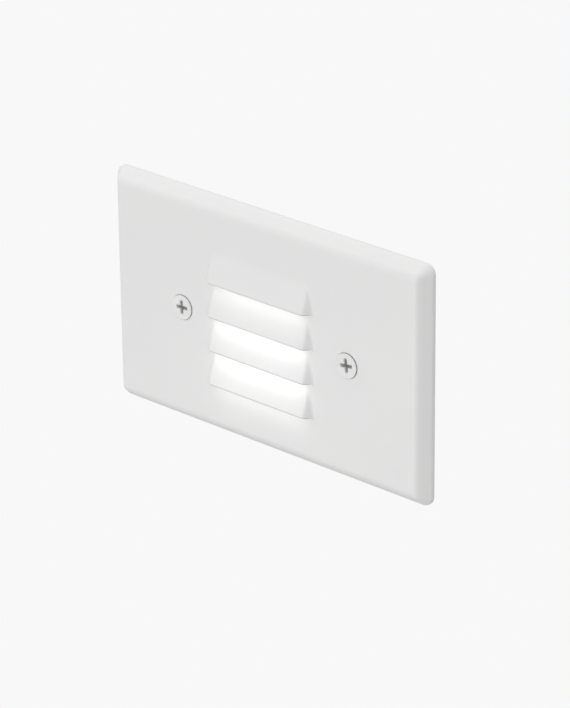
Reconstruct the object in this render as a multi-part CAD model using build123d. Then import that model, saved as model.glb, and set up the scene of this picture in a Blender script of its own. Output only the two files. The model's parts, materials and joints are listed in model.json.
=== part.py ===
from build123d import *
import math
import os

# A recessed step light for a one-gang wall box, laid on its side.
# The origin is the middle of the wall plane behind the cover. +X is to the right as the light is
# seen from the front, +Z is up, and +Y goes into the wall. All sizes are in millimetres.
# A depth is a Y value: negative in front of the wall plane, positive inside the wall box.

# ---- standard spacings of a one-gang wall box ----
box_screw_spacing = 83.34
cover_screw_spacing = 60.325

# ---- cover plate ----
plate_length = 114.3
plate_height = 69.85
plate_depth = 4.6  # wall plane to the flat face
cover_sheet = 0.9
cover_lip = 1.2  # the straight edge that meets the wall
bevel_inset = 3.0
plate_corner_radius = 3.6
shoulder_radius = 1.2

# ---- louver hoods ----
hood_count = 4
hood_pitch = 10.12
hood_length = 38.6
hood_height = 8.0
hood_reach = 2.4  # how far a lip stands out from the face
hood_end_run = 3.3  # length over which a lip falls back to the face at each end
hood_group_x = -1.1
lowest_lip_z = -19.3

# ---- cover screws, 6-32 flat heads ----
screw_radius = 1.74
flat_head_radius = 3.53
flat_head_angle = 82.0
flat_head_land = 0.12
head_proud = 0.37  # how far the heads stand out from the face
cover_screw_length = 9.53
seat_gap = 0.05
dimple_hole_radius = 1.95
dimple_rounding = 1.2
dimple_blank_margin = 0.85
recess_radius = 2.15
recess_wing = 1.1
recess_depth = 1.7
left_screw_clock = 3.0
right_screw_clock = 8.0
thread_gap = 0.06
running_gap = 0.05

# ---- captive washers of the cover screws ----
retainer_thickness = 0.5
retainer_radius = 3.2
retainer_yoke_gap = 0.3

# ---- foam seals under the cover ----
light_seal_gap = 0.3  # between the seal and the bezel behind it
light_seal_length = 50.0
light_seal_height = 44.0
light_seal_width_x = 4.0
light_seal_width_z = 2.0
rim_gasket_thickness = 1.0
rim_gasket_width = 2.8
rim_gasket_wall_gap = 0.05
bond_gap = 0.02

# ---- mounting yoke ----
yoke_sheet = 1.2
yoke_length = 104.8
ear_height = 34.0
yoke_height = 44.0
yoke_setback = 2.0  # depth of the middle's front face
ear_inner_x = 36.2
ramp_run = 2.6
ear_corner_radius = 3.0
slot_length = 7.2
slot_width = 4.1
aperture_length = 38.6
aperture_height = 37.2
aperture_corner_radius = 1.5

# ---- screws that hold the light in the wall box, 6-32 by 1 in ----
box_screw_radius = 1.75
box_screw_neck_radius = 1.35
box_screw_length = 25.4
box_head_radius = 3.5
box_head_height = 2.0
box_head_land = 0.5
washer_side = 8.0
washer_thickness = 0.4
washer_play = 0.05  # along the neck, between the washer and the start of the thread

# ---- ground screw ----
ground_screw_x = 30.5
ground_screw_z = -15.5
ground_screw_radius = 2.08
ground_flange_radius = 4.0
ground_flange_thickness = 0.8
ground_hex_flats = 6.3
ground_hex_height = 1.9
ground_screw_length = 3.5

# ---- light housing ----
housing_length = 52.0
housing_height = 44.0
housing_depth = 28.8
housing_wall = 2.0
housing_corner_radius = 3.0
housing_inner_radius = 1.5
boss_radius = 2.3
boss_x = 23.2
boss_z = 12.0
sink_boss_x = 9.0
sink_boss_z = 17.9
sink_boss_length = 6.5
sink_boss_radius = 2.2
rear_boss_radius = 2.2
rear_boss_x = 22.2
rear_boss_z = 18.2
rear_boss_length = 8.0
pilot_radius = 1.05

# ---- small machine screws ----
small_screw_radius = 1.0
small_head_radius = 1.6
small_head_height = 1.0
small_slot_width = 0.5
small_slot_depth = 0.4
clearance_hole_radius = 1.2

# ---- rear cover ----
rear_cover_thickness = 2.0
rear_rim_depth = 1.2
rear_rim_width = 1.0
rear_rim_gap = 0.1
rear_screw_length = 6.5
bushing_x = -11.0
bushing_z = 0.0
bushing_hole_radius = 5.0
bushing_bore_radius = 3.4
bushing_flange_radius = 6.3
bushing_inner_flange = 1.1
bushing_outer_flange = 2.0
bushing_edge_round = 0.8

# ---- lens stack in front of the yoke ----
lens_length = 42.6
lens_height = 41.6
lens_flange = 1.6
lens_pad_length = 37.4
lens_pad_height = 36.4
lens_pad_rise = 1.0
lens_corner_radius = 2.0
lens_gasket_thickness = 1.4
lens_gasket_inset = 0.1
bezel_length = 51.2
bezel_height = 44.6
bezel_corner_radius = 2.5
bezel_lip = 1.2
bezel_window_margin = 0.3
bezel_pocket_gap = 0.1
bezel_recess_radius = 1.8
bezel_recess_depth = 1.1
bezel_screw_length = 9.3

# ---- light source ----
reflector_wall = 1.0
reflector_rear_length = 27.0
reflector_rear_height = 24.0
reflector_front_length = 37.8
reflector_front_height = 36.4
reflector_floor = 0.8
reflector_lens_gap = 0.2
led_board_depth = 13.0
led_board_thickness = 1.0
led_board_length = 35.6
led_board_height = 30.0
led_board_screw_x = 15.9
led_board_screw_z = 9.0
led_board_screw_length = 3.4
led_columns = 4
led_rows = 3
led_pitch_x = 6.0
led_pitch_z = 6.6
led_length = 3.5
led_width = 2.8
led_thickness = 0.7
led_window_gap = 0.3
thermal_pad_thickness = 0.5
thermal_pad_margin = 0.6
heat_sink_thickness = 2.0
heat_sink_gap = 0.3
heat_sink_screw_length = 6.0
insulator_thickness = 0.4
insulator_length = 41.2
insulator_height = 38.8
insulator_screw_gap = 0.4

# ---- lead passage from the driver to the light source ----
lead_diameter = 1.1
lead_bend_radius = 3.3
lead_x = 19.0
lead_pitch = 2.5
lead_end_x = 14.9
lead_notch_x = 16.2
lead_notch_height = 6.4
lead_hole_length = 3.2
lead_hole_height = 6.0

# ---- driver ----
driver_board_depth = 27.4  # its front face, which carries the components
driver_board_thickness = 1.6
driver_board_length = 43.6
driver_board_height = 35.0
corner_cut_gap = 0.4
post_radius = 2.2
post_x = 17.0
post_z = 13.0
post_screw_length = 4.0
connector_length = 5.0
connector_height = 8.0
connector_rise = 5.5
connector_wall = 0.7
plug_seat_gap = 0.05
plug_stand_out = 0.9
plug_depth = 4.5

# ---- depths that follow from the stack ----
face_y = -plate_depth
cover_inner_y = face_y + cover_sheet
yoke_front = yoke_setback
yoke_back = yoke_front + yoke_sheet
housing_back = yoke_back + housing_depth
rear_cover_back = housing_back + rear_cover_thickness
lens_back = yoke_front - lens_gasket_thickness
lens_front = lens_back - lens_flange
bezel_front = lens_front - bezel_lip
led_board_back = led_board_depth + led_board_thickness
heat_sink_front = led_board_back + thermal_pad_thickness
heat_sink_back = heat_sink_front + heat_sink_thickness
driver_board_back = driver_board_depth + driver_board_thickness
box_screw_x = box_screw_spacing / 2
cover_screw_x = cover_screw_spacing / 2
corner_cut_x = rear_boss_x - rear_boss_radius - corner_cut_gap
corner_cut_z = rear_boss_z - rear_boss_radius - corner_cut_gap

nodes = {}


# ---- helpers ----
def keep(name, *shapes):
    """Store the solids of one node under its name."""
    nodes[name] = [solid for shape in shapes for solid in shape.solids()]


def depth_plane(y):
    """The drawing plane at depth y: its x is the part's X and its y is the part's Z."""
    return Plane(origin=(0, y, 0), x_dir=(1, 0, 0), z_dir=(0, -1, 0))


def slab(outline, front, back):
    """The outline as a solid between two depths."""
    return extrude(depth_plane(back) * outline, amount=back - front)


def rod(x, z, radius, front, back):
    """A round bar along Y."""
    return slab(Pos(x, z) * Circle(radius), front, back)


def block(x, z, length, height, front, back):
    """A square-edged block, placed by its middle in X and Z."""
    return slab(Pos(x, z) * Rectangle(length, height), front, back)


def turned(lines, x, z):
    """A solid turned about the line along Y through (x, z), from a closed profile of (radius, depth)."""
    return Pos(x, 0, z) * revolve(make_face(lines), axis=Axis.Y)


def four(x, z):
    """The four mirrored places of a corner point."""
    return [(sx * x, sz * z) for sx in (-1, 1) for sz in (-1, 1)]


def cut_corners(length, height):
    """An outline whose corners are cut back square to pass the rear bosses of the housing."""
    outline = Rectangle(length, height)
    for x, z in four(corner_cut_x + length / 2, corner_cut_z + height / 2):
        outline -= Pos(x, z) * Rectangle(length, height)
    return outline


def slotted_screw(x, z, seat, length, forward):
    """A small cheese-head screw. Its head is on the front side of its seat if forward, else behind."""
    side = -1 if forward else 1
    head_end = seat + side * small_head_height
    head = rod(x, z, small_head_radius, min(seat, head_end), max(seat, head_end))
    shank_end = seat - side * length
    shank = rod(x, z, small_screw_radius, min(seat, shank_end), max(seat, shank_end))
    slot_floor = head_end - side * small_slot_depth
    slot_front, slot_back = sorted((slot_floor, head_end))
    slot = block(x, z, 2 * small_head_radius, small_slot_width, slot_front, slot_back)
    return head + shank - slot


# ---- cover plate ----
def dished(length, height, corner, lip, depth, lean):
    """A tray blank: a straight lip, then sides that lean in up to the flat face."""
    outline = RectangleRounded(length, height, corner)
    straight = slab(outline, -lip, 0)
    leaning = extrude(depth_plane(-lip) * outline, amount=depth - lip, taper=lean)
    return straight + leaning


def hood_form(lip_z):
    """One hood's outside: a wedge that rises from the face down to its lip, with conical ends."""
    wedge_profile = Polyline(
        (face_y, lip_z + hood_height),
        (face_y, lip_z),
        (face_y - hood_reach, lip_z),
        close=True,
    )
    wedge = extrude(Plane.YZ * make_face(wedge_profile), amount=plate_length / 2, both=True)
    end_lean = math.degrees(math.atan(hood_end_run / hood_reach))
    outline = Pos(hood_group_x, lip_z) * SlotOverall(hood_length, 2 * hood_height)
    mound = extrude(depth_plane(face_y) * outline, amount=hood_reach, taper=end_lean)
    return wedge & mound


def screw_dimple(x):
    """The countersunk dimple pressed into the sheet round a cover screw."""
    half = math.radians(flat_head_angle / 2)
    head_radius_at_face = flat_head_radius - (head_proud - flat_head_land) * math.tan(half)
    mouth = head_radius_at_face + seat_gap / math.cos(half)
    tangent = dimple_rounding * math.tan((math.pi / 2 - half) / 2)
    blank = mouth + tangent + dimple_blank_margin
    edge = (mouth + tangent, face_y)
    cone_top = (mouth - tangent * math.sin(half), face_y + tangent * math.cos(half))
    hole_front = (dimple_hole_radius, face_y + (mouth - dimple_hole_radius) / math.tan(half))
    hole_back = (
        hole_front[0] + cover_sheet * math.cos(half),
        hole_front[1] + cover_sheet * math.sin(half),
    )
    back_edge = (hole_back[0] + (hole_back[1] - cover_inner_y) * math.tan(half), cover_inner_y)
    profile = [
        Line((blank, face_y), edge),
        TangentArc(edge, cone_top, tangent=(-1, 0)),
        Polyline(cone_top, hole_front, hole_back, back_edge, (blank, cover_inner_y), (blank, face_y)),
    ]
    ring = turned(profile, x, 0)
    return blank, ring


def make_cover_plate():
    lean_angle = math.atan(bevel_inset / (plate_depth - cover_lip))
    lean = math.degrees(lean_angle)
    outside = dished(plate_length, plate_height, plate_corner_radius, cover_lip, plate_depth, lean)
    outside = fillet(outside.edges().group_by(Axis.Y)[0], shoulder_radius)
    inner_lip = cover_lip - cover_sheet * math.tan(lean_angle / 2)
    inside = dished(
        plate_length - 2 * cover_sheet,
        plate_height - 2 * cover_sheet,
        plate_corner_radius - cover_sheet,
        inner_lip,
        plate_depth - cover_sheet,
        lean,
    )
    plate = outside - inside
    for step in range(hood_count):
        form = hood_form(lowest_lip_z + step * hood_pitch)
        plate = plate + form - Pos(0, cover_sheet, 0) * form
    for x in (-cover_screw_x, cover_screw_x):
        blank, ring = screw_dimple(x)
        plate = plate - rod(x, 0, blank, face_y, cover_inner_y) + ring
    keep("cover_plate", plate)


# ---- screws of the cover, and what keeps them on it ----
def cross_recess(top, radius, wing, depth):
    """A cross recess on the Y axis that narrows to its floor."""
    floor_share = 0.45
    arm = loft(
        [
            depth_plane(top + depth) * Rectangle(2 * radius * floor_share, wing * floor_share),
            depth_plane(top) * Rectangle(2 * radius, wing),
        ]
    )
    middle = loft([depth_plane(top + depth) * Circle(wing * floor_share), depth_plane(top) * Circle(wing)])
    return arm + Rot(0, 90, 0) * arm + middle


def flat_head_screw(x, clock):
    """A flat head screw with its cross turned anticlockwise by clock degrees."""
    top = face_y - head_proud
    cone_start = top + flat_head_land
    cone_length = (flat_head_radius - screw_radius) / math.tan(math.radians(flat_head_angle / 2))
    tip = top + cover_screw_length
    tip_chamfer = 0.4
    profile = Polyline(
        (0, top),
        (flat_head_radius - flat_head_land / 2, top),
        (flat_head_radius, top + flat_head_land / 2),
        (flat_head_radius, cone_start),
        (screw_radius, cone_start + cone_length),
        (screw_radius, tip - tip_chamfer),
        (screw_radius - tip_chamfer, tip),
        (0, tip),
        close=True,
    )
    recess = Rot(0, -clock, 0) * cross_recess(top, recess_radius, recess_wing, recess_depth)
    return turned(profile, x, 0) - Pos(x, 0, 0) * recess


def make_cover_screws():
    keep("left_cover_screw", flat_head_screw(-cover_screw_x, left_screw_clock))
    keep("right_cover_screw", flat_head_screw(cover_screw_x, right_screw_clock))
    back = yoke_front - retainer_yoke_gap
    for side, x in (("left", -cover_screw_x), ("right", cover_screw_x)):
        ring = rod(x, 0, retainer_radius, back - retainer_thickness, back)
        ring -= rod(x, 0, screw_radius + running_gap, back - retainer_thickness, back)
        keep(side + "_screw_retainer", ring)


def make_cover_seals():
    seal = Rectangle(light_seal_length, light_seal_height)
    seal -= Rectangle(
        light_seal_length - 2 * light_seal_width_x,
        light_seal_height - 2 * light_seal_width_z,
    )
    keep("light_seal", slab(seal, cover_inner_y, bezel_front - light_seal_gap))
    outer_length = plate_length - 2 * (cover_sheet + bond_gap)
    outer_height = plate_height - 2 * (cover_sheet + bond_gap)
    corner = plate_corner_radius - cover_sheet
    ring = RectangleRounded(outer_length, outer_height, corner)
    ring -= RectangleRounded(
        outer_length - 2 * rim_gasket_width,
        outer_height - 2 * rim_gasket_width,
        corner / 2,
    )
    inner_lip = cover_lip - cover_sheet * bevel_inset / (plate_depth - cover_lip) / 2
    back = -rim_gasket_wall_gap
    front = max(back - rim_gasket_thickness, -inner_lip)
    keep("rim_gasket", slab(ring, front, back))


# ---- mounting yoke and the screws in it ----
def make_mounting_yoke():
    ramp_angle = math.atan((yoke_setback + yoke_sheet) / ramp_run)
    shift = yoke_sheet * math.tan(ramp_angle / 2)
    half = yoke_length / 2
    middle_x = ear_inner_x - ramp_run
    front_side = [
        (half, -yoke_sheet),
        (ear_inner_x, -yoke_sheet),
        (middle_x, yoke_front),
        (-middle_x, yoke_front),
        (-ear_inner_x, -yoke_sheet),
        (-half, -yoke_sheet),
    ]
    back_side = [
        (-half, 0),
        (-ear_inner_x - shift, 0),
        (-middle_x - shift, yoke_back),
        (middle_x + shift, yoke_back),
        (ear_inner_x + shift, 0),
        (half, 0),
    ]
    strip = make_face(Polyline(*front_side, *back_side, close=True))
    yoke = extrude(strip, amount=yoke_height / 2, both=True)
    outline = Rectangle(2 * middle_x, yoke_height)
    outline += RectangleRounded(yoke_length, ear_height, ear_corner_radius)
    yoke &= slab(outline, -yoke_sheet, yoke_back)
    aperture = RectangleRounded(aperture_length, aperture_height, aperture_corner_radius)
    yoke -= slab(aperture, yoke_front, yoke_back)
    for side in (-1, 1):
        slot = Pos(side * box_screw_x, 0) * SlotOverall(slot_length, slot_width)
        yoke -= slab(slot, -yoke_sheet, 0)
        yoke -= rod(side * cover_screw_x, 0, screw_radius + thread_gap, yoke_front, yoke_back)
    for x, z in four(boss_x, boss_z):
        yoke -= rod(x, z, clearance_hole_radius, yoke_front, yoke_back)
    yoke -= rod(ground_screw_x, ground_screw_z, ground_screw_radius, yoke_front, yoke_back)
    keep("mounting_yoke", yoke)


def box_screw(x):
    """A truss-head screw whose plain neck stands in the yoke's slot and in a captive washer."""
    seat = -yoke_sheet
    top = seat - box_head_height
    neck_end = washer_thickness + washer_play
    tip = seat + box_screw_length
    tip_chamfer = 0.5
    dome_edge = (box_head_radius, seat - box_head_land)
    profile = [
        TangentArc((0, top), dome_edge, tangent=(1, 0)),
        Polyline(
            dome_edge,
            (box_head_radius, seat),
            (box_screw_neck_radius, seat),
            (box_screw_neck_radius, neck_end),
            (box_screw_radius, neck_end),
            (box_screw_radius, tip - tip_chamfer),
            (box_screw_radius - tip_chamfer, tip),
            (0, tip),
            (0, top),
        ),
    ]
    cross = cross_recess(top, 0.55 * box_head_radius, recess_wing, 0.7 * box_head_height)
    return turned(profile, x, 0) - Pos(x, 0, 0) * cross


def make_wall_box_screws():
    places = (-box_screw_x, box_screw_x)
    keep("box_screws", *[box_screw(x) for x in places])
    washers = []
    for x in places:
        washer = block(x, 0, washer_side, washer_side, 0, washer_thickness)
        washers.append(washer - rod(x, 0, box_screw_neck_radius + running_gap, 0, washer_thickness))
    keep("box_screw_washers", *washers)


def make_ground_screw():
    x, z = ground_screw_x, ground_screw_z
    flange_back = yoke_back + ground_flange_thickness
    hex_back = flange_back + ground_hex_height
    hexagon = Pos(x, z) * RegularPolygon(ground_hex_flats / 2, 6, major_radius=False)
    screw = slab(hexagon, flange_back, hex_back)
    screw += rod(x, z, ground_flange_radius, yoke_back, flange_back)
    screw += rod(x, z, ground_screw_radius - thread_gap, yoke_back - ground_screw_length, yoke_back)
    screw -= block(x, z, ground_hex_flats + 1.5, 1.0, hex_back - 1.0, hex_back)
    keep("ground_screw", screw)


# ---- housing ----
def make_housing_body():
    outer = RectangleRounded(housing_length, housing_height, housing_corner_radius)
    inner = RectangleRounded(
        housing_length - 2 * housing_wall,
        housing_height - 2 * housing_wall,
        housing_inner_radius,
    )
    shell = slab(outer - inner, yoke_back, housing_back)
    envelope = slab(outer, yoke_back, housing_back)
    bosses = []
    for x, z in four(boss_x, boss_z):
        bosses.append(rod(x, z, boss_radius, yoke_back, heat_sink_front))
    for x, z in four(rear_boss_x, rear_boss_z):
        bosses.append(rod(x, z, rear_boss_radius, housing_back - rear_boss_length, housing_back))
    sink_boss_front = heat_sink_front - sink_boss_length
    inner_top = housing_height / 2 - housing_wall
    for x, z in four(sink_boss_x, sink_boss_z):
        web_z = math.copysign((abs(z) + inner_top) / 2, z)
        web_height = inner_top - abs(z) + 1
        bosses.append(
            rod(x, z, sink_boss_radius, sink_boss_front, heat_sink_front)
            + block(x, web_z, 2 * sink_boss_radius, web_height, sink_boss_front, heat_sink_front)
        )
    for boss in bosses:
        shell += boss & envelope
    for x, z in four(boss_x, boss_z):
        shell -= rod(x, z, pilot_radius, yoke_back, heat_sink_front)
    for x, z in four(sink_boss_x, sink_boss_z):
        shell -= rod(x, z, pilot_radius, sink_boss_front + 1, heat_sink_front)
    for x, z in four(rear_boss_x, rear_boss_z):
        shell -= rod(x, z, pilot_radius, housing_back - rear_boss_length + 1, housing_back)
    keep("housing_body", shell)


def make_rear_cover():
    outer = RectangleRounded(housing_length, housing_height, housing_corner_radius)
    cover = slab(outer, housing_back, rear_cover_back)
    rim_length = housing_length - 2 * (housing_wall + rear_rim_gap)
    rim_height = housing_height - 2 * (housing_wall + rear_rim_gap)
    rim = RectangleRounded(rim_length, rim_height, housing_inner_radius)
    rim -= Rectangle(rim_length - 2 * rear_rim_width, rim_height - 2 * rear_rim_width)
    rim = slab(rim, housing_back - rear_rim_depth, housing_back)
    for x, z in four(rear_boss_x, rear_boss_z):
        rim -= rod(x, z, rear_boss_radius + corner_cut_gap, housing_back - rear_rim_depth, housing_back)
    for piece in rim.solids():
        cover += piece
    for x, z in four(post_x, post_z):
        cover += rod(x, z, post_radius, driver_board_back, housing_back)
        cover -= rod(x, z, small_screw_radius, driver_board_back, housing_back)
    for x, z in four(rear_boss_x, rear_boss_z):
        cover -= rod(x, z, clearance_hole_radius, housing_back, rear_cover_back)
    cover -= rod(bushing_x, bushing_z, bushing_hole_radius, housing_back, rear_cover_back)
    keep("rear_cover", cover)
    screws = [
        slotted_screw(x, z, rear_cover_back, rear_screw_length, forward=False)
        for x, z in four(rear_boss_x, rear_boss_z)
    ]
    keep("rear_cover_screws", *screws)


def make_lead_bushing():
    neck = bushing_hole_radius - running_gap
    inner_end = housing_back - bushing_inner_flange
    outer_end = rear_cover_back + bushing_outer_flange
    profile = Polyline(
        (bushing_bore_radius, inner_end),
        (bushing_flange_radius, inner_end),
        (bushing_flange_radius, housing_back),
        (neck, housing_back),
        (neck, rear_cover_back),
        (bushing_flange_radius, rear_cover_back),
        (bushing_flange_radius, outer_end - bushing_edge_round),
        (bushing_flange_radius - bushing_edge_round, outer_end),
        (bushing_bore_radius, outer_end),
        close=True,
    )
    keep("lead_bushing", turned(profile, bushing_x, bushing_z))


# ---- lens stack ----
def make_lens_stack():
    flange = RectangleRounded(lens_length, lens_height, lens_corner_radius)
    pad = RectangleRounded(lens_pad_length, lens_pad_height, lens_corner_radius)
    lens = slab(flange, lens_front, lens_back) + slab(pad, lens_front - lens_pad_rise, lens_front)
    pocket = Rectangle(lens_pad_length - 2 * lens_flange, lens_pad_height - 2 * lens_flange)
    lens -= slab(pocket, lens_back - lens_pad_rise, lens_back)
    keep("diffuser_lens", lens)

    ring = RectangleRounded(
        lens_length - 2 * lens_gasket_inset,
        lens_height - 2 * lens_gasket_inset,
        lens_corner_radius,
    )
    ring -= RectangleRounded(
        aperture_length + 2 * lens_gasket_inset,
        aperture_height + 2 * lens_gasket_inset,
        aperture_corner_radius,
    )
    keep("lens_gasket", slab(ring, lens_back, yoke_front))

    bezel = slab(RectangleRounded(bezel_length, bezel_height, bezel_corner_radius), bezel_front, yoke_front)
    window = RectangleRounded(
        lens_pad_length + 2 * bezel_window_margin,
        lens_pad_height + 2 * bezel_window_margin,
        lens_corner_radius,
    )
    bezel -= slab(window, bezel_front, lens_front)
    pocket = RectangleRounded(
        lens_length + 2 * bezel_pocket_gap,
        lens_height + 2 * bezel_pocket_gap,
        lens_corner_radius,
    )
    bezel -= slab(pocket, lens_front, yoke_front)
    seat = bezel_front + bezel_recess_depth
    screws = []
    for x, z in four(boss_x, boss_z):
        bezel -= rod(x, z, bezel_recess_radius, bezel_front, seat)
        bezel -= rod(x, z, clearance_hole_radius, seat, yoke_front)
        screws.append(slotted_screw(x, z, seat, bezel_screw_length, forward=True))
    keep("lens_bezel", bezel)
    keep("bezel_screws", *screws)


# ---- light source ----
def led_places():
    """The middles of the diodes, in rows and columns about the axis."""
    return [
        ((column - (led_columns - 1) / 2) * led_pitch_x, (row - (led_rows - 1) / 2) * led_pitch_z)
        for column in range(led_columns)
        for row in range(led_rows)
    ]


def make_reflector_tray():
    front = lens_back + reflector_lens_gap
    floor_front = led_board_depth - reflector_floor

    def funnel(wall, rear):
        return loft(
            [
                depth_plane(rear) * Rectangle(reflector_rear_length - wall, reflector_rear_height - wall),
                depth_plane(front) * Rectangle(reflector_front_length - wall, reflector_front_height - wall),
            ]
        )

    tray = funnel(0, led_board_depth) - funnel(2 * reflector_wall, floor_front)
    for x, z in led_places():
        length = led_length + 2 * led_window_gap
        width = led_width + 2 * led_window_gap
        tray -= block(x, z, length, width, floor_front, led_board_depth)
    keep("reflector_tray", tray)


def make_light_source():
    notch_length = led_board_length / 2 - lead_notch_x
    notch_x = lead_notch_x + notch_length / 2
    screw_places = four(led_board_screw_x, led_board_screw_z)

    board = block(0, 0, led_board_length, led_board_height, led_board_depth, led_board_back)
    board -= block(notch_x, 0, notch_length, lead_notch_height, led_board_depth, led_board_back)
    for x, z in screw_places:
        board -= rod(x, z, clearance_hole_radius, led_board_depth, led_board_back)
    keep("led_board", board)

    front = led_board_depth - led_thickness
    leds = [block(x, z, led_length, led_width, front, led_board_depth) for x, z in led_places()]
    keep("led_packages", *leds)

    pad_length = led_board_length - 2 * thermal_pad_margin
    pad_height = led_board_height - 2 * thermal_pad_margin
    pad = block(0, 0, pad_length, pad_height, led_board_back, heat_sink_front)
    pad -= block(notch_x, 0, notch_length, lead_notch_height, led_board_back, heat_sink_front)
    for x, z in screw_places:
        pad -= rod(x, z, clearance_hole_radius, led_board_back, heat_sink_front)
    keep("thermal_pad", pad)

    screws = [
        slotted_screw(x, z, led_board_depth, led_board_screw_length, forward=True)
        for x, z in screw_places
    ]
    keep("led_board_screws", *screws)


def make_heat_sink():
    length = housing_length - 2 * (housing_wall + heat_sink_gap)
    height = housing_height - 2 * (housing_wall + heat_sink_gap)
    sink = slab(cut_corners(length, height), heat_sink_front, heat_sink_back)
    for x, z in four(sink_boss_x, sink_boss_z):
        sink -= rod(x, z, clearance_hole_radius, heat_sink_front, heat_sink_back)
    for x, z in four(led_board_screw_x, led_board_screw_z):
        sink -= rod(x, z, small_screw_radius, heat_sink_front, heat_sink_back)
    sink -= block(lead_x, 0, lead_hole_length, lead_hole_height, heat_sink_front, heat_sink_back)
    keep("heat_sink_plate", sink)
    screws = [
        slotted_screw(x, z, heat_sink_back, heat_sink_screw_length, forward=False)
        for x, z in four(sink_boss_x, sink_boss_z)
    ]
    keep("heat_sink_screws", *screws)

    back = heat_sink_back + insulator_thickness
    sheet = slab(cut_corners(insulator_length, insulator_height), heat_sink_back, back)
    sheet -= block(lead_x, 0, lead_hole_length, lead_hole_height, heat_sink_back, back)
    for x, z in four(sink_boss_x, sink_boss_z):
        sheet -= rod(x, z, small_head_radius + insulator_screw_gap, heat_sink_back, back)
    keep("insulating_sheet", sheet)


# ---- driver ----
def on_board(x, z, length, height, rise):
    """A component body that stands on the front face of the driver board."""
    return block(x, z, length, height, driver_board_depth - rise, driver_board_depth)


def can(x, z, radius, rise):
    """A round component that stands on the driver board, with a rounded top edge."""
    body = rod(x, z, radius, driver_board_depth - rise, driver_board_depth)
    return fillet(body.edges().group_by(Axis.Y)[0], 0.5)


def make_driver_board():
    outline = cut_corners(driver_board_length, driver_board_height)
    board = slab(outline, driver_board_depth, driver_board_back)
    for x, z in four(post_x, post_z):
        board -= rod(x, z, clearance_hole_radius, driver_board_depth, driver_board_back)
    keep("driver_board", board)
    screws = [
        slotted_screw(x, z, driver_board_depth, post_screw_length, forward=True)
        for x, z in four(post_x, post_z)
    ]
    keep("driver_board_screws", *screws)


def make_line_side():
    """Fuse, surge absorber, filter and rectifier, on the side where the supply comes in."""
    fuse_radius = 1.5
    fuse = Cylinder(fuse_radius, 7.0)
    keep("fuse_resistor", Pos(-19.0, driver_board_depth - fuse_radius, 0) * fuse)
    disc_radius = 3.1
    disc = Rot(0, 90, 0) * Cylinder(disc_radius, 3.0)
    disc = fillet(disc.edges().filter_by(GeomType.CIRCLE), 0.8)
    keep("varistor", Pos(-13.5, driver_board_depth - disc_radius, -0.4) * disc)
    keep("input_capacitor", on_board(-12.0, -7.6, 10.0, 5.0, 8.0))
    keep("line_choke", can(-3.0, -11.0, 3.2, 8.5))
    keep("bridge_rectifier", on_board(-7.0, -2.0, 4.7, 3.9, 2.4))
    keep("bulk_capacitor", can(-12.0, 8.4, 4.0, 9.6))


def make_transformer():
    x, z = 5.0, 4.0
    core_length, core_width, core_rise = 13.0, 5.0, 8.6
    leg, yoke_bar = 3.2, 1.6
    base_rise = 1.0
    window = (core_length - leg) / 2 - yoke_bar
    core_front = driver_board_depth - base_rise - core_rise
    core_back = driver_board_depth - base_rise
    core = block(x, z, core_length, core_width, core_front, core_back)
    for side in (-1, 1):
        window_x = x + side * (leg + window) / 2
        core -= block(window_x, z, window, core_width, core_front + yoke_bar, core_back - yoke_bar)
    keep("transformer_core", core)
    keep("transformer_bobbin", on_board(x, z, core_length, 11.0, base_rise))
    coil_front = core_front + yoke_bar
    coil_back = core_back - yoke_bar
    winding = block(x, z, leg + 2 * window, core_width + 2 * window, coil_front, coil_back)
    winding = fillet(winding.edges().filter_by(Axis.Y), 0.8 * window)
    winding -= block(x, z, leg, core_width, coil_front, coil_back)
    keep("transformer_winding", winding)


def make_output_side():
    """Control chip, output rectifier and filter, and the lead connector."""
    keep("driver_chip", on_board(3.0, -7.0, 4.9, 3.9, 1.6))
    keep("output_diode", on_board(12.8, -5.6, 2.6, 4.3, 2.2))
    keep("output_capacitor", can(10.4, -12.6, 3.15, 9.0))
    resistors = [on_board(1.0 + 3.2 * step, 13.4, 2.0, 1.25, 0.6) for step in range(4)]
    keep("chip_resistors", *resistors)

    seat_length = connector_length - 2 * connector_wall
    seat_height = connector_height - 2 * connector_wall
    connector_front = driver_board_depth - connector_rise
    plug_front = connector_front - plug_stand_out
    plug_back = plug_front + plug_depth
    header = on_board(lead_x, 0, connector_length, connector_height, connector_rise)
    header -= block(lead_x, 0, seat_length, seat_height, connector_front, plug_back)
    keep("board_connector", header)
    length = seat_length - 2 * plug_seat_gap
    height = seat_height - 2 * plug_seat_gap
    keep("lead_plug", block(lead_x, 0, length, height, plug_front, plug_back))
    return plug_front


def make_led_leads(plug_front):
    """Two leads from the plug, through the heat sink, over the edge of the light source's board."""
    landing = led_board_depth - lead_diameter / 2 - 0.02
    leads = []
    for z in (-lead_pitch / 2, lead_pitch / 2):
        corners = [(lead_x, plug_front, z), (lead_x, landing, z), (lead_end_x, landing, z)]
        path = FilletPolyline(*corners, radius=lead_bend_radius)
        section = Plane(origin=corners[0], z_dir=(0, -1, 0)) * Circle(lead_diameter / 2)
        lead = sweep(section, path=path)
        expected = math.pi * lead_diameter**2 / 4 * path.length
        print("lead bend", lead_bend_radius, "volume", round(lead.volume, 3), "of", round(expected, 3))
        leads.append(lead)
    keep("led_leads", *leads)


make_cover_plate()
make_cover_screws()
make_cover_seals()
make_mounting_yoke()
make_wall_box_screws()
make_ground_screw()
make_housing_body()
make_rear_cover()
make_lead_bushing()
make_lens_stack()
make_reflector_tray()
make_light_source()
make_heat_sink()
make_driver_board()
make_line_side()
make_transformer()
make_led_leads(make_output_side())

os.makedirs("parts", exist_ok=True)
for name, solids in nodes.items():
    export_step(Compound(solids), f"parts/{name}.step")
    print(name, len(solids), "solid(s), volume", round(sum(solid.volume for solid in solids), 2))
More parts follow.
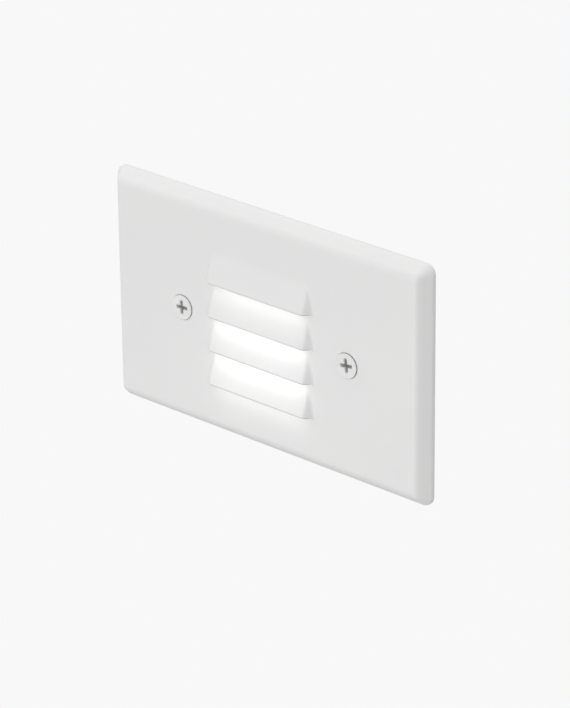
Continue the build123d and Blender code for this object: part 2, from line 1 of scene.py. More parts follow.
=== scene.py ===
# %% [markdown]
# # A recessed step light, dressed for its portrait
# The light is already engineered: every piece lies in its place at its real size, in metres, with its
# joints. This lesson gives it its looks. Pieces whose form is right keep their mesh and get a finish.
# The pressed cover and the screws are what the eye goes to, so they are built again in mesh code.

# %% Load the engineered pieces
import json
import math

import bmesh
import bpy
from mathutils import Matrix, Vector
from mathutils.geometry import delaunay_2d_cdt
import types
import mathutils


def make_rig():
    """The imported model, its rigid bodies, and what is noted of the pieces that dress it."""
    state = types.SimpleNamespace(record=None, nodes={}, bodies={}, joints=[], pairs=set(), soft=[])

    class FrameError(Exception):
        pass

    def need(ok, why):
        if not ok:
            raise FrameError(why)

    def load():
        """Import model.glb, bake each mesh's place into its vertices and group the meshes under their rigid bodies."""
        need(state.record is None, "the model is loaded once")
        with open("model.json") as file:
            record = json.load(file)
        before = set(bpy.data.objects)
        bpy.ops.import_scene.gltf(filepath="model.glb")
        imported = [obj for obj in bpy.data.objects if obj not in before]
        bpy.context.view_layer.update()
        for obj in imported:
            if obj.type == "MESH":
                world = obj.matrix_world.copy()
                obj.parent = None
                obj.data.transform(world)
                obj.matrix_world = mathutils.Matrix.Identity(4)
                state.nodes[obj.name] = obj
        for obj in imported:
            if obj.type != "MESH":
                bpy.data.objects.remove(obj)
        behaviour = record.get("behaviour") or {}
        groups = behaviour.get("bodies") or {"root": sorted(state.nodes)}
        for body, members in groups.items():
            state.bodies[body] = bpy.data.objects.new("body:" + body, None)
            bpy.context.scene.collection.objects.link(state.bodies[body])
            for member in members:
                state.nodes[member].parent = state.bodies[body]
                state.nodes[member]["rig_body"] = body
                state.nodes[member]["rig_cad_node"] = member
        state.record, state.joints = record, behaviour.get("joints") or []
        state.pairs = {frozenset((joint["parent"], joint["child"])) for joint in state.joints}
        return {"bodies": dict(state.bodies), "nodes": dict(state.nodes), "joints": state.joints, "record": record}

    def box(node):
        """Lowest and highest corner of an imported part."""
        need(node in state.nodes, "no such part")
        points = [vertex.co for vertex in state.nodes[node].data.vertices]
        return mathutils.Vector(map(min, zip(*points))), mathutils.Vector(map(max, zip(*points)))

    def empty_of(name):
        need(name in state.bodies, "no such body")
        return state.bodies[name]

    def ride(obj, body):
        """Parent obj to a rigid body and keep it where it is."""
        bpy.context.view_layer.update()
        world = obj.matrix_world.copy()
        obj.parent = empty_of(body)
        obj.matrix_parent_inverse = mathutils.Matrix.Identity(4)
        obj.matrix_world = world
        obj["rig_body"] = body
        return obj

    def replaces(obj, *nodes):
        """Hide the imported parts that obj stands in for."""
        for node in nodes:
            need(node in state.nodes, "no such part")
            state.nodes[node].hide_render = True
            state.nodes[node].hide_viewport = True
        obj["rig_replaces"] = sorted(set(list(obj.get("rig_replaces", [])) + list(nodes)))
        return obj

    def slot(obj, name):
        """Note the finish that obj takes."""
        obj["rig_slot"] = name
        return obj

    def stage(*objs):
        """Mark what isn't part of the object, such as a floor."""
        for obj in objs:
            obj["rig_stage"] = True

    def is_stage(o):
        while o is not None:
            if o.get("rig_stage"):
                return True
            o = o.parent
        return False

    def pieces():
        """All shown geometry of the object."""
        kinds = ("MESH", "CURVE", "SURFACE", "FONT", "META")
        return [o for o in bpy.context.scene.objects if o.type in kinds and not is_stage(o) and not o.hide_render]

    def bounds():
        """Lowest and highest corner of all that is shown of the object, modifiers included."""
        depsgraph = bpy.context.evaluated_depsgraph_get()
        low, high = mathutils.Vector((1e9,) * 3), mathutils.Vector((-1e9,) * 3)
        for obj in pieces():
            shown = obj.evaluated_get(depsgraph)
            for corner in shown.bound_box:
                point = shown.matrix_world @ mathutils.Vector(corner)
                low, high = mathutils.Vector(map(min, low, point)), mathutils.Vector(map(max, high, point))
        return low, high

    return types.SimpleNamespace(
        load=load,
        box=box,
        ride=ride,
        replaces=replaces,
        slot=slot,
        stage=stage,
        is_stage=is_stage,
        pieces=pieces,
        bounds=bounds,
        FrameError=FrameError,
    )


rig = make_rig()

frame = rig.load()
nodes = frame["nodes"]
cad_box = [list(corner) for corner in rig.bounds()]
scene = bpy.context.scene


def in_mm(box):
    """A box of metres in millimetres, for reading."""
    return [[round(value * 1000, 2) for value in corner] for corner in box]


print(len(nodes), "nodes on", len(frame["bodies"]), "bodies, box in mm:", in_mm(cad_box))

# %% [markdown]
# ## The camera
# The picture was taken from in front of the light, to its right and a little above. A camera could be
# set by eye, but slants and lengths would never all fit at once. So its place was worked out from the
# corners of the cover and its two screws. The lens is long, so the far end of the cover is hardly
# smaller than the near end. Roll is the small tilt that a hand-levelled camera has.

# %% Place the camera
CAMERA_PLACE = Vector((0.6196, -0.6779, 0.4048))
CAMERA_AZIMUTH = math.radians(42.25)
CAMERA_ELEVATION = math.radians(24.15)
CAMERA_ROLL = math.radians(-0.632)
CAMERA_LENS_MM = 187.25
SENSOR_MM = 36.0


def camera_matrix(azimuth, elevation, roll, place):
    """The camera looks along its own -Z, so its Z column points back from the object to it."""
    back = Vector((
        math.sin(azimuth) * math.cos(elevation),
        -math.cos(azimuth) * math.cos(elevation),
        math.sin(elevation),
    ))
    level_right = Vector((math.cos(azimuth), math.sin(azimuth), 0))
    level_up = back.cross(level_right)
    right = level_right * math.cos(roll) + level_up * math.sin(roll)
    up = back.cross(right)
    turn = Matrix((right, up, back)).transposed().to_4x4()
    return Matrix.Translation(place) @ turn


camera_data = bpy.data.cameras.new("portrait_camera")
camera_data.lens = CAMERA_LENS_MM
camera_data.sensor_width = SENSOR_MM
camera_data.clip_start = 0.01
camera_data.clip_end = 50.0
camera = bpy.data.objects.new("portrait_camera", camera_data)
scene.collection.objects.link(camera)
camera.matrix_world = camera_matrix(CAMERA_AZIMUTH, CAMERA_ELEVATION, CAMERA_ROLL, CAMERA_PLACE)
scene.camera = camera
print("camera stands", round(CAMERA_PLACE.length, 3), "m from the middle of the cover")

# %% [markdown]
# ## A pale studio
# The picture has one even pale tone all round the light, and nothing of it shows behind the wall's
# plane, because such a light is sunk into a wall. A white world alone would give the tone, but then
# the works behind the cover would stick out round it. So there is a sky, a floor and a backdrop in the
# wall's plane, and the camera sees all three in one tone, whatever light they give or take. Each mixes
# two shaders, and a node that tells what kind of ray arrives, or on which side, picks one of them.
# The plain view transform keeps whites white, where a film-like one would grey them.

# %% Two shaders and a choice
STUDIO_TONE = 0.94
scene.view_settings.view_transform = "Standard"
scene.view_settings.look = "None"


def even_glow(tree, kind):
    """A shader that shows the studio's tone and nothing else."""
    glow = tree.nodes.new(kind)
    glow.inputs["Color"].default_value = (STUDIO_TONE, STUDIO_TONE, STUDIO_TONE, 1)
    return glow.outputs[0]


def choose_shader(tree, test, if_no, if_yes, output="Material Output"):
    """Send one of two shaders to the output. The test is a socket that is 0 or 1."""
    choice = tree.nodes.new("ShaderNodeMixShader")
    for source, target in zip((test, if_no, if_yes), choice.inputs):
        tree.links.new(source, target)
    tree.links.new(choice.outputs[0], tree.nodes[output].inputs["Surface"])


def camera_ray(tree):
    """A socket that is 1 where the camera looks straight at the surface."""
    return tree.nodes.new("ShaderNodeLightPath").outputs["Is Camera Ray"]


print("the studio is seen in tone", STUDIO_TONE)

# %% [markdown]
# ## The sky
# A world's colour is what the camera sees and also what lights the scene. Here the two are set apart:
# the camera sees the studio's tone, while the light is weaker and only fills the shadows.

# %% Light the sky
SKY_STRENGTH = 0.50
world = bpy.data.worlds.new("pale_sky")
scene.world = world
world.use_nodes = True
sky_light = world.node_tree.nodes["Background"]
sky_light.inputs["Strength"].default_value = SKY_STRENGTH
sky_light.inputs["Color"].default_value = (1, 1, 1, 1)
sky_seen = even_glow(world.node_tree, "ShaderNodeBackground")
sky_ray = camera_ray(world.node_tree)
choose_shader(world.node_tree, sky_ray, sky_light.outputs[0], sky_seen, "World Output")
print("sky of strength", SKY_STRENGTH)

# %% [markdown]
# ## Soft light
# Wide suns stand in for soft boxes over the light and to its left: they are soft, and their light falls
# off nowhere. A panel low in front fills the face. Their strengths were found by rendering one of them
# at a time, because light adds up: the tones of face, hoods and bevels then give plain equations.

# %% Two wide suns and a panel
SOFT_SUNS = {  # name: (direction that it comes from, width in degrees, strength)
    "top_sun": ((0.0, 0.0, 1.0), 120.0, 1.52),
    "left_sun": ((-1.0, -0.2, 0.0), 120.0, 0.43),
}
PANEL_PLACE = (-0.12, -0.62, -0.18)
PANEL_SIDE = 0.4
PANEL_POWER = 1.20


def add_lamp(name, kind, direction=None):
    """A lamp whose light comes from this direction, or from above if none is given."""
    lamp = bpy.data.lights.new(name, kind)
    holder = bpy.data.objects.new(name, lamp)
    if direction:
        holder.rotation_euler = Vector(direction).to_track_quat("Z", "Y").to_euler()
    scene.collection.objects.link(holder)
    return lamp, holder


for name, (direction, width, strength) in SOFT_SUNS.items():
    sun, holder = add_lamp(name, "SUN", direction)
    sun.angle = math.radians(width)
    sun.energy = strength
panel, holder = add_lamp("low_panel", "AREA", PANEL_PLACE)
panel.size = PANEL_SIDE
panel.energy = PANEL_POWER
holder.location = PANEL_PLACE
holder.visible_camera = False
print(len(SOFT_SUNS), "wide suns and a panel of", PANEL_SIDE, "m")

# %% [markdown]
# ## The floor
# A floor throws light back up at the edges that look down. A pale one would wash them out, so its paint
# is darker than the tone it is seen in. It lies far below the light, so that a camera that looks up
# from below still stands over it.

# %% Lay the floor
FLOOR_DROP = 1.1  # below the middle of the light
FLOOR_SIDE = 16.0
FLOOR_TONE = 0.55
SQUARE = ((-1, -1), (1, -1), (1, 1), (-1, 1))


def stage_plane(name, points, faces, paint_name):
    """A plane of the studio, which is no part of the object, and the node tree of its paint."""
    mesh = bpy.data.meshes.new(name)
    mesh.from_pydata(points, [], faces)
    paint = bpy.data.materials.new(paint_name)
    paint.use_nodes = True
    mesh.materials.append(paint)
    plane = bpy.data.objects.new(name, mesh)
    scene.collection.objects.link(plane)
    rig.stage(plane)
    return plane, paint.node_tree


half_floor = FLOOR_SIDE / 2
floor_corners = [(x * half_floor, y * half_floor, -FLOOR_DROP) for x, y in SQUARE]
_, tree = stage_plane("floor", floor_corners, [(0, 1, 2, 3)], "pale_floor")
floor_paint = tree.nodes["Principled BSDF"]
floor_paint.inputs["Base Color"].default_value = (FLOOR_TONE, FLOOR_TONE, FLOOR_TONE, 1)
floor_paint.inputs["Roughness"].default_value = 1.0
floor_paint.inputs["Specular IOR Level"].default_value = 0.0
choose_shader(tree, camera_ray(tree), floor_paint.outputs[0], even_glow(tree, "ShaderNodeEmission"))
print("floor", FLOOR_SIDE, "m wide,", FLOOR_DROP, "m down")

# %% [markdown]
# ## The backdrop
# A painted wall would take the lamps' light unevenly and carry shadows, so a board that only glows
# stands in for it, left out of all lighting. It has a cut-out for the wall box. It ends a little over
# the light and is clear from behind, so the works can be looked at from there and from above.

# %% Stand up the backdrop
BACKDROP_SIDE = 3.0
BACKDROP_TOP = 0.06
BACKDROP_PLACE_Y = 0.0001
BOX_CUTOUT = (0.096, 0.058)

half_board = BACKDROP_SIDE / 2
half_x, half_z = (side / 2 for side in BOX_CUTOUT)
board_corners = []
for left, right, low, high in (
    (-half_board, half_board, -half_board, BACKDROP_TOP), (-half_x, half_x, -half_z, half_z)
):
    around = ((left, low), (right, low), (right, high), (left, high))
    board_corners += [(x, BACKDROP_PLACE_Y, z) for x, z in around]
board_faces = [(i, (i + 1) % 4, (i + 1) % 4 + 4, i + 4) for i in range(4)]
backdrop, tree = stage_plane("backdrop", board_corners, board_faces, "backdrop_glow")
tree.nodes.remove(tree.nodes["Principled BSDF"])
behind = tree.nodes.new("ShaderNodeNewGeometry").outputs["Backfacing"]
clear = tree.nodes.new("ShaderNodeBsdfTransparent").outputs[0]
choose_shader(tree, behind, even_glow(tree, "ShaderNodeEmission"), clear)
for ray in ("diffuse", "glossy", "transmission", "volume_scatter", "shadow"):
    setattr(backdrop, f"visible_{ray}", False)
print("backdrop", BACKDROP_SIDE, "m wide")

# %% [markdown]
# ## Two helpers for every mesh
# A mesh in code is a list of points and a list of faces that name them. One helper turns such lists
# into an object and rounds its shading wherever two faces meet at less than a chosen angle. The other
# skins a row of rings, which is how screws and most turned or drawn forms are made.

# %% Mesh helpers
MM = 0.001
SMOOTH_BELOW = math.radians(34)
SAME_POINT = 1e-7  # metres; corners nearer than this are one
NO_LENGTH = 1e-8


def make_piece(name, points, faces, body, stands_for=(), slot=None):
    """Make an object from points in millimetres, weld it, face it outward and let it ride on its body."""
    mesh = bpy.data.meshes.new(name)
    mesh.from_pydata([Vector(point) * MM for point in points], [], faces)
    work = bmesh.new()
    work.from_mesh(mesh)
    bmesh.ops.remove_doubles(work, verts=work.verts, dist=SAME_POINT)
    bmesh.ops.dissolve_degenerate(work, edges=work.edges, dist=NO_LENGTH)
    bmesh.ops.recalc_face_normals(work, faces=work.faces)
    open_edges = sum(1 for edge in work.edges if not edge.is_manifold)
    work.to_mesh(mesh)
    work.free()
    mesh.shade_smooth()
    mesh.set_sharp_from_angle(angle=SMOOTH_BELOW)
    piece = bpy.data.objects.new(name, mesh)
    scene.collection.objects.link(piece)
    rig.ride(piece, body)
    if stands_for:
        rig.replaces(piece, *stands_for)
    if slot:
        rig.slot(piece, slot)
    print(name, len(mesh.polygons), "faces,", open_edges, "open edges")
    return piece


def skin_rings(rings):
    """Points and faces of a tube through rings of equal length. A ring of one point is a pole."""
    points, faces, starts = [], [], []
    for ring in rings:
        starts.append(len(points))
        points.extend(ring)
    for here, there, ring, following in zip(starts, starts[1:], rings, rings[1:]):
        count = max(len(ring), len(following))
        for step in range(count):
            ahead = (step + 1) % count
            if len(ring) == 1:
                faces.append((here, there + ahead, there + step))
            elif len(following) == 1:
                faces.append((here + step, here + ahead, there))
            else:
                faces.append((here + step, here + ahead, there + ahead, there + step))
    return points, faces


print("faces shade as one below", round(math.degrees(SMOOTH_BELOW)), "degrees")

# %% [markdown]
# ## The cover, one pressed sheet
# The cover is steel sheet, pressed in a die: a flat face, a soft shoulder, a leaning bevel and a short
# straight lip that meets the wall. Cutting a block would give hard edges, so the sheet is built as a
# skin instead. Every point of the outer skin knows its partner on the inner skin, one sheet's thickness
# behind it, and at the end the two skins are joined along every open edge.
# The bevel's profile is drawn once, with rounded corners, and swept round as rings.

# %% Draw the rounded profile
FACE_HEIGHT = 4.6  # from the wall to the flat face
SHEET = 0.9
LIP_HEIGHT = 1.2
BEVEL_INSET = 3.0
LIP_ROUND = 1.0
SHOULDER_ROUND = 3.0
BACK_EDGE_ROUND = 0.15
GUARD = 0.4  # a narrow flat band beside a curve, which keeps the big flat faces' shading flat
FLAT_RUN = 4.0  # any length of flat face will do to start or end a profile
PROFILE_STEPS = 9  # facets of each rounded corner


def rounded_profile(corners, radii, steps):
    """Points along a path of (inset, height) with rounded corners, each with its outward normal."""
    path = [Vector(corner) for corner in corners]
    made = []

    def normal_of(direction):
        return Vector((-direction.y, direction.x))

    for index, point in enumerate(path):
        before = (point - path[index - 1]).normalized() if index else None
        after = (path[index + 1] - point).normalized() if index + 1 < len(path) else None
        radius = radii[index]
        if before is None or after is None or radius == 0:
            made.append((point, normal_of(after or before)))
            continue
        turn = before.angle(after)
        tangent = radius * math.tan(turn / 2)
        start_normal = normal_of(before)
        centre = point - before * tangent - start_normal * radius
        for step in range(steps + 1):
            angle = -turn * step / steps
            normal = Matrix.Rotation(angle, 2) @ start_normal
            made.append((centre + normal * radius, normal))
    return made


cover_profile = rounded_profile(
    [
        (0, BACK_EDGE_ROUND),
        (0, LIP_HEIGHT),
        (BEVEL_INSET, FACE_HEIGHT),
        (BEVEL_INSET + FLAT_RUN, FACE_HEIGHT),
    ],
    [0, LIP_ROUND, SHOULDER_ROUND, 0],
    PROFILE_STEPS,
)[:-1]
shoulder_end = cover_profile[-1][0].x
cover_profile.append((Vector((shoulder_end + GUARD, FACE_HEIGHT)), Vector((0, 1))))
print("profile of", len(cover_profile), "points, the face starts", round(shoulder_end, 2), "mm in")

# %% [markdown]
# ## The profile swept round
# A pressed corner is tighter on the face than at the wall, because the sheet is drawn in as it bends.
# One rounded rectangle for each point of the profile does that: its corner radius shrinks with the
# inset. All rectangles have equally many points, so that neighbours can simply be joined.

# %% Rounded rectangles
_, cover_high = (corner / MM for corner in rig.box("cover_plate"))
COVER_HALF_LENGTH = cover_high.x
COVER_HALF_HEIGHT = cover_high.z
OUTER_CORNER = 2.9
LEAST_CORNER = 1.0
CORNER_TIGHTENS = 0.66  # millimetres of corner radius lost for each one inward
CORNER_STEPS = 10
LONG_SIDE_STEPS = 28
SHORT_SIDE_STEPS = 18


def rounded_ring(half_x, half_z, radius):
    """(x, z) points of a rounded rectangle, anticlockwise as the front shows it."""
    corners = []
    for quarter, (side_x, side_z) in enumerate(((1, 1), (-1, 1), (-1, -1), (1, -1))):
        centre = Vector((side_x * (half_x - radius), side_z * (half_z - radius)))
        angles = [math.pi / 2 * (quarter + step / CORNER_STEPS) for step in range(CORNER_STEPS + 1)]
        corners.append([centre + radius * Vector((math.cos(a), math.sin(a))) for a in angles])
    ring = []
    for quarter, arc in enumerate(corners):
        ring.extend(arc)
        end, start = arc[-1], corners[(quarter + 1) % 4][0]
        steps = SHORT_SIDE_STEPS if quarter % 2 else LONG_SIDE_STEPS
        ring.extend(end.lerp(start, step / steps) for step in range(1, steps))
    return ring


def cover_ring(inset, height):
    """One ring of the cover at this inset from its outline and this height over the wall."""
    radius = max(OUTER_CORNER - CORNER_TIGHTENS * max(inset, 0), LEAST_CORNER)
    outline = rounded_ring(COVER_HALF_LENGTH - inset, COVER_HALF_HEIGHT - inset, radius)
    return [Vector((point.x, -height, point.y)) for point in outline]


print("each ring of the cover has", len(cover_ring(0, 0)), "points")

# %% [markdown]
# ## Points in pairs
# Now the rings are stored, always two at a time: one on the outer skin and one a sheet's thickness
# behind it. Only the outer skin gets faces here. The inner skin can have the same ones later, because
# each of its points has the same number in its own list.

# %% Sweep the profile round as rings
ARC_INSET = 0.3  # how far in the middle of a quarter circle lies, as a share of its radius
outer_skin, inner_skin, skin_faces = [], [], []


def add_pair(outer, inner):
    """Store one point of the outer skin and its partner behind it."""
    outer_skin.append(Vector(outer))
    inner_skin.append(Vector(inner))
    return len(outer_skin) - 1


def add_ring_pairs(outer_ring, inner_ring):
    return [add_pair(outer, inner) for outer, inner in zip(outer_ring, inner_ring)]


def join_loops(first, second):
    """Faces between two loops of points, the first one further out."""
    count = len(first)
    for step in range(count):
        ahead = (step + 1) % count
        skin_faces.append((first[step], first[ahead], second[ahead], second[step]))


back_edge_arc = BACK_EDGE_ROUND * ARC_INSET
loops = [
    add_ring_pairs(cover_ring(BACK_EDGE_ROUND, 0), cover_ring(SHEET, 0)),
    add_ring_pairs(cover_ring(back_edge_arc, back_edge_arc), cover_ring(SHEET, back_edge_arc)),
]
for point, normal in cover_profile:
    partner = point - normal * SHEET
    loops.append(add_ring_pairs(cover_ring(point.x, point.y), cover_ring(partner.x, partner.y)))
for outside, inside in zip(loops, loops[1:]):
    join_loops(outside, inside)
face_loop = loops[-1]
print("rim of the cover:", len(loops), "rings of", len(face_loop), "points")

# %% [markdown]
# ## Dimples for the screws
# Each screw sits in a countersunk dimple. The punch rounds the sheet in over a small radius and leaves
# a cone with a hole. The head fills it, so what shows is a fine dark line round the head. A boolean cut
# would leave a hard edge and no thickness behind it. Rings round the screw's axis follow the same idea
# as the rim instead: a profile with rounded corners, and a partner for each point.

# %% Press the dimples
SCREW_X = 30.1625
HEAD_RADIUS = 3.53
HEAD_LAND = 0.4  # the straight side of the head over its cone
HEAD_PROUD = 0.37
CONE_HALF_ANGLE = math.radians(41)
SEAT_GAP = 0.16
DIMPLE_HOLE = 2.2  # radius; a smaller one would touch the captive washer of an undone screw
DIMPLE_ROUND = 0.6
DIMPLE_ROUND_STEPS = 8
DIMPLE_STEPS = 72  # points round the screw's axis

head_radius_at_face = HEAD_RADIUS - (HEAD_PROUD - HEAD_LAND) * math.tan(CONE_HALF_ANGLE)
dimple_mouth = head_radius_at_face + SEAT_GAP / math.cos(CONE_HALF_ANGLE)
cone_drop = (dimple_mouth - DIMPLE_HOLE) / math.tan(CONE_HALF_ANGLE)
dimple_profile = rounded_profile(
    [
        (-dimple_mouth - FLAT_RUN, FACE_HEIGHT),
        (-dimple_mouth, FACE_HEIGHT),
        (-DIMPLE_HOLE, FACE_HEIGHT - cone_drop),
    ],
    [0, DIMPLE_ROUND, 0],
    DIMPLE_ROUND_STEPS,
)[1:]
dimple_edge = -dimple_profile[0][0].x
dimple_profile.insert(0, (Vector((-dimple_edge - GUARD, FACE_HEIGHT)), Vector((0, 1))))


def circle_at(x, radius, height):
    angles = [2 * math.pi * step / DIMPLE_STEPS for step in range(DIMPLE_STEPS)]
    return [Vector((x + radius * math.cos(a), -height, radius * math.sin(a))) for a in angles]


dimple_loops = []
for screw_x in (-SCREW_X, SCREW_X):
    loops = []
    for point, normal in dimple_profile:
        partner = point - normal * SHEET
        loops.append(add_ring_pairs(
            circle_at(screw_x, -point.x, point.y), circle_at(screw_x, -partner.x, partner.y)
        ))
    for outside, inside in zip(loops, loops[1:]):
        join_loops(outside, inside)
    dimple_loops.append(loops[0])
print("dimples", round(dimple_edge * 2, 2), "mm across at the face")

# %% [markdown]
# ## Four louver hoods
# A louver is cut along its lip and pushed out in one stroke, so each hood is a wedge whose ends fall
# off steeply and swell a little. One could be sculpted and copied, but a formula keeps all four alike
# and can be fitted to the picture by its numbers: the height is the lower of two slopes, the wedge and
# its end, blended so that neither the ridge between them nor the foot is sharp.

# %% The height of a hood
HOOD_LENGTH = 38.6
HOOD_RISE = 8.0  # from the lip up to where the hood meets the face
HOOD_REACH = 2.4
HOOD_END_RUN = 2.1  # how far the end's slope runs along the lip
HOOD_END_BULGE = 0.35  # how far the end swells, half way up
RIDGE_BLEND = 0.32
FOOT_BLEND = 0.26


def blend_lower(a, b, width):
    """The lower of two heights, with the corner between them rounded."""
    share = max(width - abs(a - b), 0) / width
    return min(a, b) - share * share * width / 4


ridge_x = HOOD_LENGTH / 2 - HOOD_END_RUN
end_slope = HOOD_REACH / HOOD_END_RUN


def hood_height(x, rise):
    """How far the hood stands out at this distance from its middle and this rise over its lip."""
    wedge = HOOD_REACH * (1 - rise / HOOD_RISE)
    share = min(rise / HOOD_RISE, 1)
    bulge = HOOD_END_BULGE * 4 * share * (1 - share)  # an arch that is 1 at its middle
    end = wedge + bulge + (ridge_x - abs(x)) * end_slope
    formed = blend_lower(wedge, end, RIDGE_BLEND * 2)
    return -blend_lower(-formed, 0, FOOT_BLEND * 2)


print("a hood stands out", round(hood_height(0, 0), 2), "mm at its lip")

# %% [markdown]
# ## The grid of a hood
# A grid could be even, but then it would be too coarse at the ends or needlessly fine in the middle.
# Its columns stand wide where a hood is straight and close where it turns, and one column stands just
# where the mouth ends. Its rows lie close over the lip, whose edge is rounded, and end on flat face.

# %% The grid's columns and rises
WIDE_COLUMNS_TO = 11.0  # from the middle of the hood
GRID_PAST_END = 1.5  # flat face beside a hood
GRID_TOP_RISE = 9.2  # a little more than the hood's own rise
LIP_EDGE_ROUND = 0.44
LIP_ROUND_STEPS = 4
MIDDLE_COLUMNS, INNER_COLUMNS, END_COLUMNS, RISE_ROWS = 8, 20, 9, 28


def spread(start, end, steps):
    """Even steps from start to end, both of them kept."""
    return [start + (end - start) * step / steps for step in range(steps + 1)]


mouth_half = HOOD_LENGTH / 2 - SHEET * HOOD_END_RUN / HOOD_REACH
grid_half = HOOD_LENGTH / 2 + GRID_PAST_END
right_xs = spread(0, WIDE_COLUMNS_TO, MIDDLE_COLUMNS)[:-1]
right_xs += spread(WIDE_COLUMNS_TO, mouth_half, INNER_COLUMNS)[:-1]
right_xs += spread(mouth_half, grid_half, END_COLUMNS)
grid_xs = [-x for x in reversed(right_xs[1:])] + right_xs
lip_turns = spread(math.pi / 2, 0, LIP_ROUND_STEPS)
hood_rises = [LIP_EDGE_ROUND * (1 - math.sin(turn)) for turn in lip_turns]
hood_rises += spread(LIP_EDGE_ROUND, GRID_TOP_RISE, RISE_ROWS)[1:]
print(len(grid_xs), "columns and", len(hood_rises), "rises for each hood")

# %% [markdown]
# ## Hoods out of the face
# The cut could be made afterwards, but a cut through a mesh leaves slivers. Instead two rows of points
# lie there from the start: the upper one belongs to the lip, the lower one to the flat face, and no
# faces join them where the mouth is open. All four hoods share one grid, row upon row.

# %% Form the hoods
HOOD_COUNT = 4
HOOD_PITCH = 10.12
HOOD_MIDDLE_X = -1.1
LOWEST_LIP_Z = -19.3
SHEAR_GAP = 0.06  # between the cut edge of the face and the lip over it
LOUVER_MARGIN = 1.0  # flat face below the lowest lip
HAIR = 1e-6  # more than rounding errors, less than any gap between columns


def louver_row(z, rise=None):
    """One row of the grid. Without a rise it lies in the flat face."""
    row = []
    for x in grid_xs:
        height = 0 if rise is None else hood_height(x, rise)
        rounding = min(LIP_EDGE_ROUND, height / 2)
        drop = 0
        if rise is not None and rise < LIP_EDGE_ROUND:
            share = 1 - rise / LIP_EDGE_ROUND
            drop = rounding * (1 - math.sqrt(1 - share * share))
        outer = (HOOD_MIDDLE_X + x, -FACE_HEIGHT - height + drop, z)
        inner = (HOOD_MIDDLE_X + x, -FACE_HEIGHT - height + SHEET, z)
        row.append(add_pair(outer, inner))
    return row


def join_rows(lower, upper, under_lip=False):
    """Faces between two rows. Under a lip, only those beyond the mouth's ends."""
    for column, (left, right) in enumerate(zip(grid_xs, grid_xs[1:])):
        in_mouth = max(abs(left), abs(right)) <= mouth_half + HAIR
        if under_lip and in_mouth:
            continue
        skin_faces.append((lower[column], lower[column + 1], upper[column + 1], upper[column]))


louver_rows = [louver_row(LOWEST_LIP_Z - GUARD - LOUVER_MARGIN)]
for hood in range(HOOD_COUNT):
    lip_z = LOWEST_LIP_Z + hood * HOOD_PITCH
    below = louver_row(lip_z - SHEAR_GAP)
    join_rows(louver_rows[-1], below)
    louver_rows.append(below)
    for rise in hood_rises:
        row = louver_row(lip_z + rise, rise)
        join_rows(louver_rows[-1], row, under_lip=rise == hood_rises[0])
        louver_rows.append(row)
louver_rows.append(louver_row(lip_z + hood_rises[-1] + GUARD))
join_rows(louver_rows[-2], louver_rows[-1])
left_side = [row[0] for row in louver_rows]
right_side = [row[-1] for row in louver_rows]
louver_loop = louver_rows[0] + right_side[1:-1] + louver_rows[-1][::-1] + left_side[-2:0:-1]
print("louvers:", len(louver_rows), "rows, mouths", round(2 * mouth_half, 1), "mm long")

# %% [markdown]
# ## Fill the flat face
# What is left of the face is flat, with three holes: two dimples and the louver grid. One large polygon
# could fill it, but long thin triangles would then shade badly. The fill from mathutils makes them as
# even as they can be, and keeps every point of the curves it borders on. It covers the holes too, so
# triangles with all corners on one hole's edge are left out.

# %% Fill between rim, dimples and louvers
fill_loops = [face_loop, *dimple_loops, louver_loop]
flat_points = [index for loop in fill_loops for index in loop]
flat_edges, hole_of, start = [], [], 0
for loop in fill_loops:
    flat_edges.extend((start + step, start + (step + 1) % len(loop)) for step in range(len(loop)))
    hole_of.extend([start] * len(loop))
    start += len(loop)

INSIDE_THE_EDGES = 1
FILL_PRECISION = 1e-5
filled = delaunay_2d_cdt(
    [Vector((outer_skin[i].x, outer_skin[i].z)) for i in flat_points],
    flat_edges, [], INSIDE_THE_EDGES, FILL_PRECISION,
)
triangles, sources = filled[2:4]
flat_count = 0
for triangle in triangles:
    corners = [sources[corner][0] for corner in triangle]
    holes = {hole_of[corner] for corner in corners}
    if len(holes) == 1 and 0 not in holes:
        continue  # it covers one of the holes
    a, b, c = (flat_points[corner] for corner in corners)
    side = (outer_skin[b] - outer_skin[a]).cross(outer_skin[c] - outer_skin[a]).y
    skin_faces.append((a, b, c) if side < 0 else (a, c, b))
    flat_count += 1
print("flat face filled with", flat_count, "triangles")

# %% [markdown]
# ## Two skins become sheet
# A solidify modifier could give the sheet its thickness, but it would fold over itself in tight bends.
# Because each point has its partner, every face is just repeated, turned round, on the inner skin. Each
# open edge then gets a face that shows the thickness: the back edge, the screw holes and the mouths.

# %% Close the cover
shift = len(outer_skin)
directed = {(face[i - 1], face[i]) for face in skin_faces for i in range(len(face))}
open_sides = [(a, b) for a, b in directed if (b, a) not in directed]
inner_faces = [tuple(index + shift for index in reversed(face)) for face in skin_faces]
rim_faces = [(b, a, a + shift, b + shift) for a, b in sorted(open_sides)]
cover = make_piece(
    "pressed_cover", outer_skin + inner_skin, skin_faces + inner_faces + rim_faces,
    "cover", ["cover_plate"], "white_paint",
)

# %% [markdown]
# ## Cross-recess screws
# A screw is turned and rolled, so it is made of rings round its axis: from the middle of the recess
# floor, up its walls, over the head, down the cone and along the thread. The recess could be cut out of
# the head, but rings follow it more cleanly. They are no circles there but a cross, which is one radius
# for each angle: the nearer of a wing's end and a wing's flank, with the corners blended.

# %% Rings of a recess
RECESS_CORNER = 0.22
RECESS_POINT = 0.16  # how far the middle of the recess floor dips
RECESS_FORM = (  # from the floor up: shares of the recess's depth, reach and half width
    (1.0, 0.30, 0.42), (1.0, 0.46, 0.60), (0.9, 0.58, 0.74), (0.62, 0.74, 0.82),
    (0.32, 0.88, 0.90), (0.09, 0.965, 0.965), (0.035, 1.0, 1.02), (0.0, 1.04, 1.14),
)
LEAST_SINE = 1e-3  # keeps a flank's radius finite


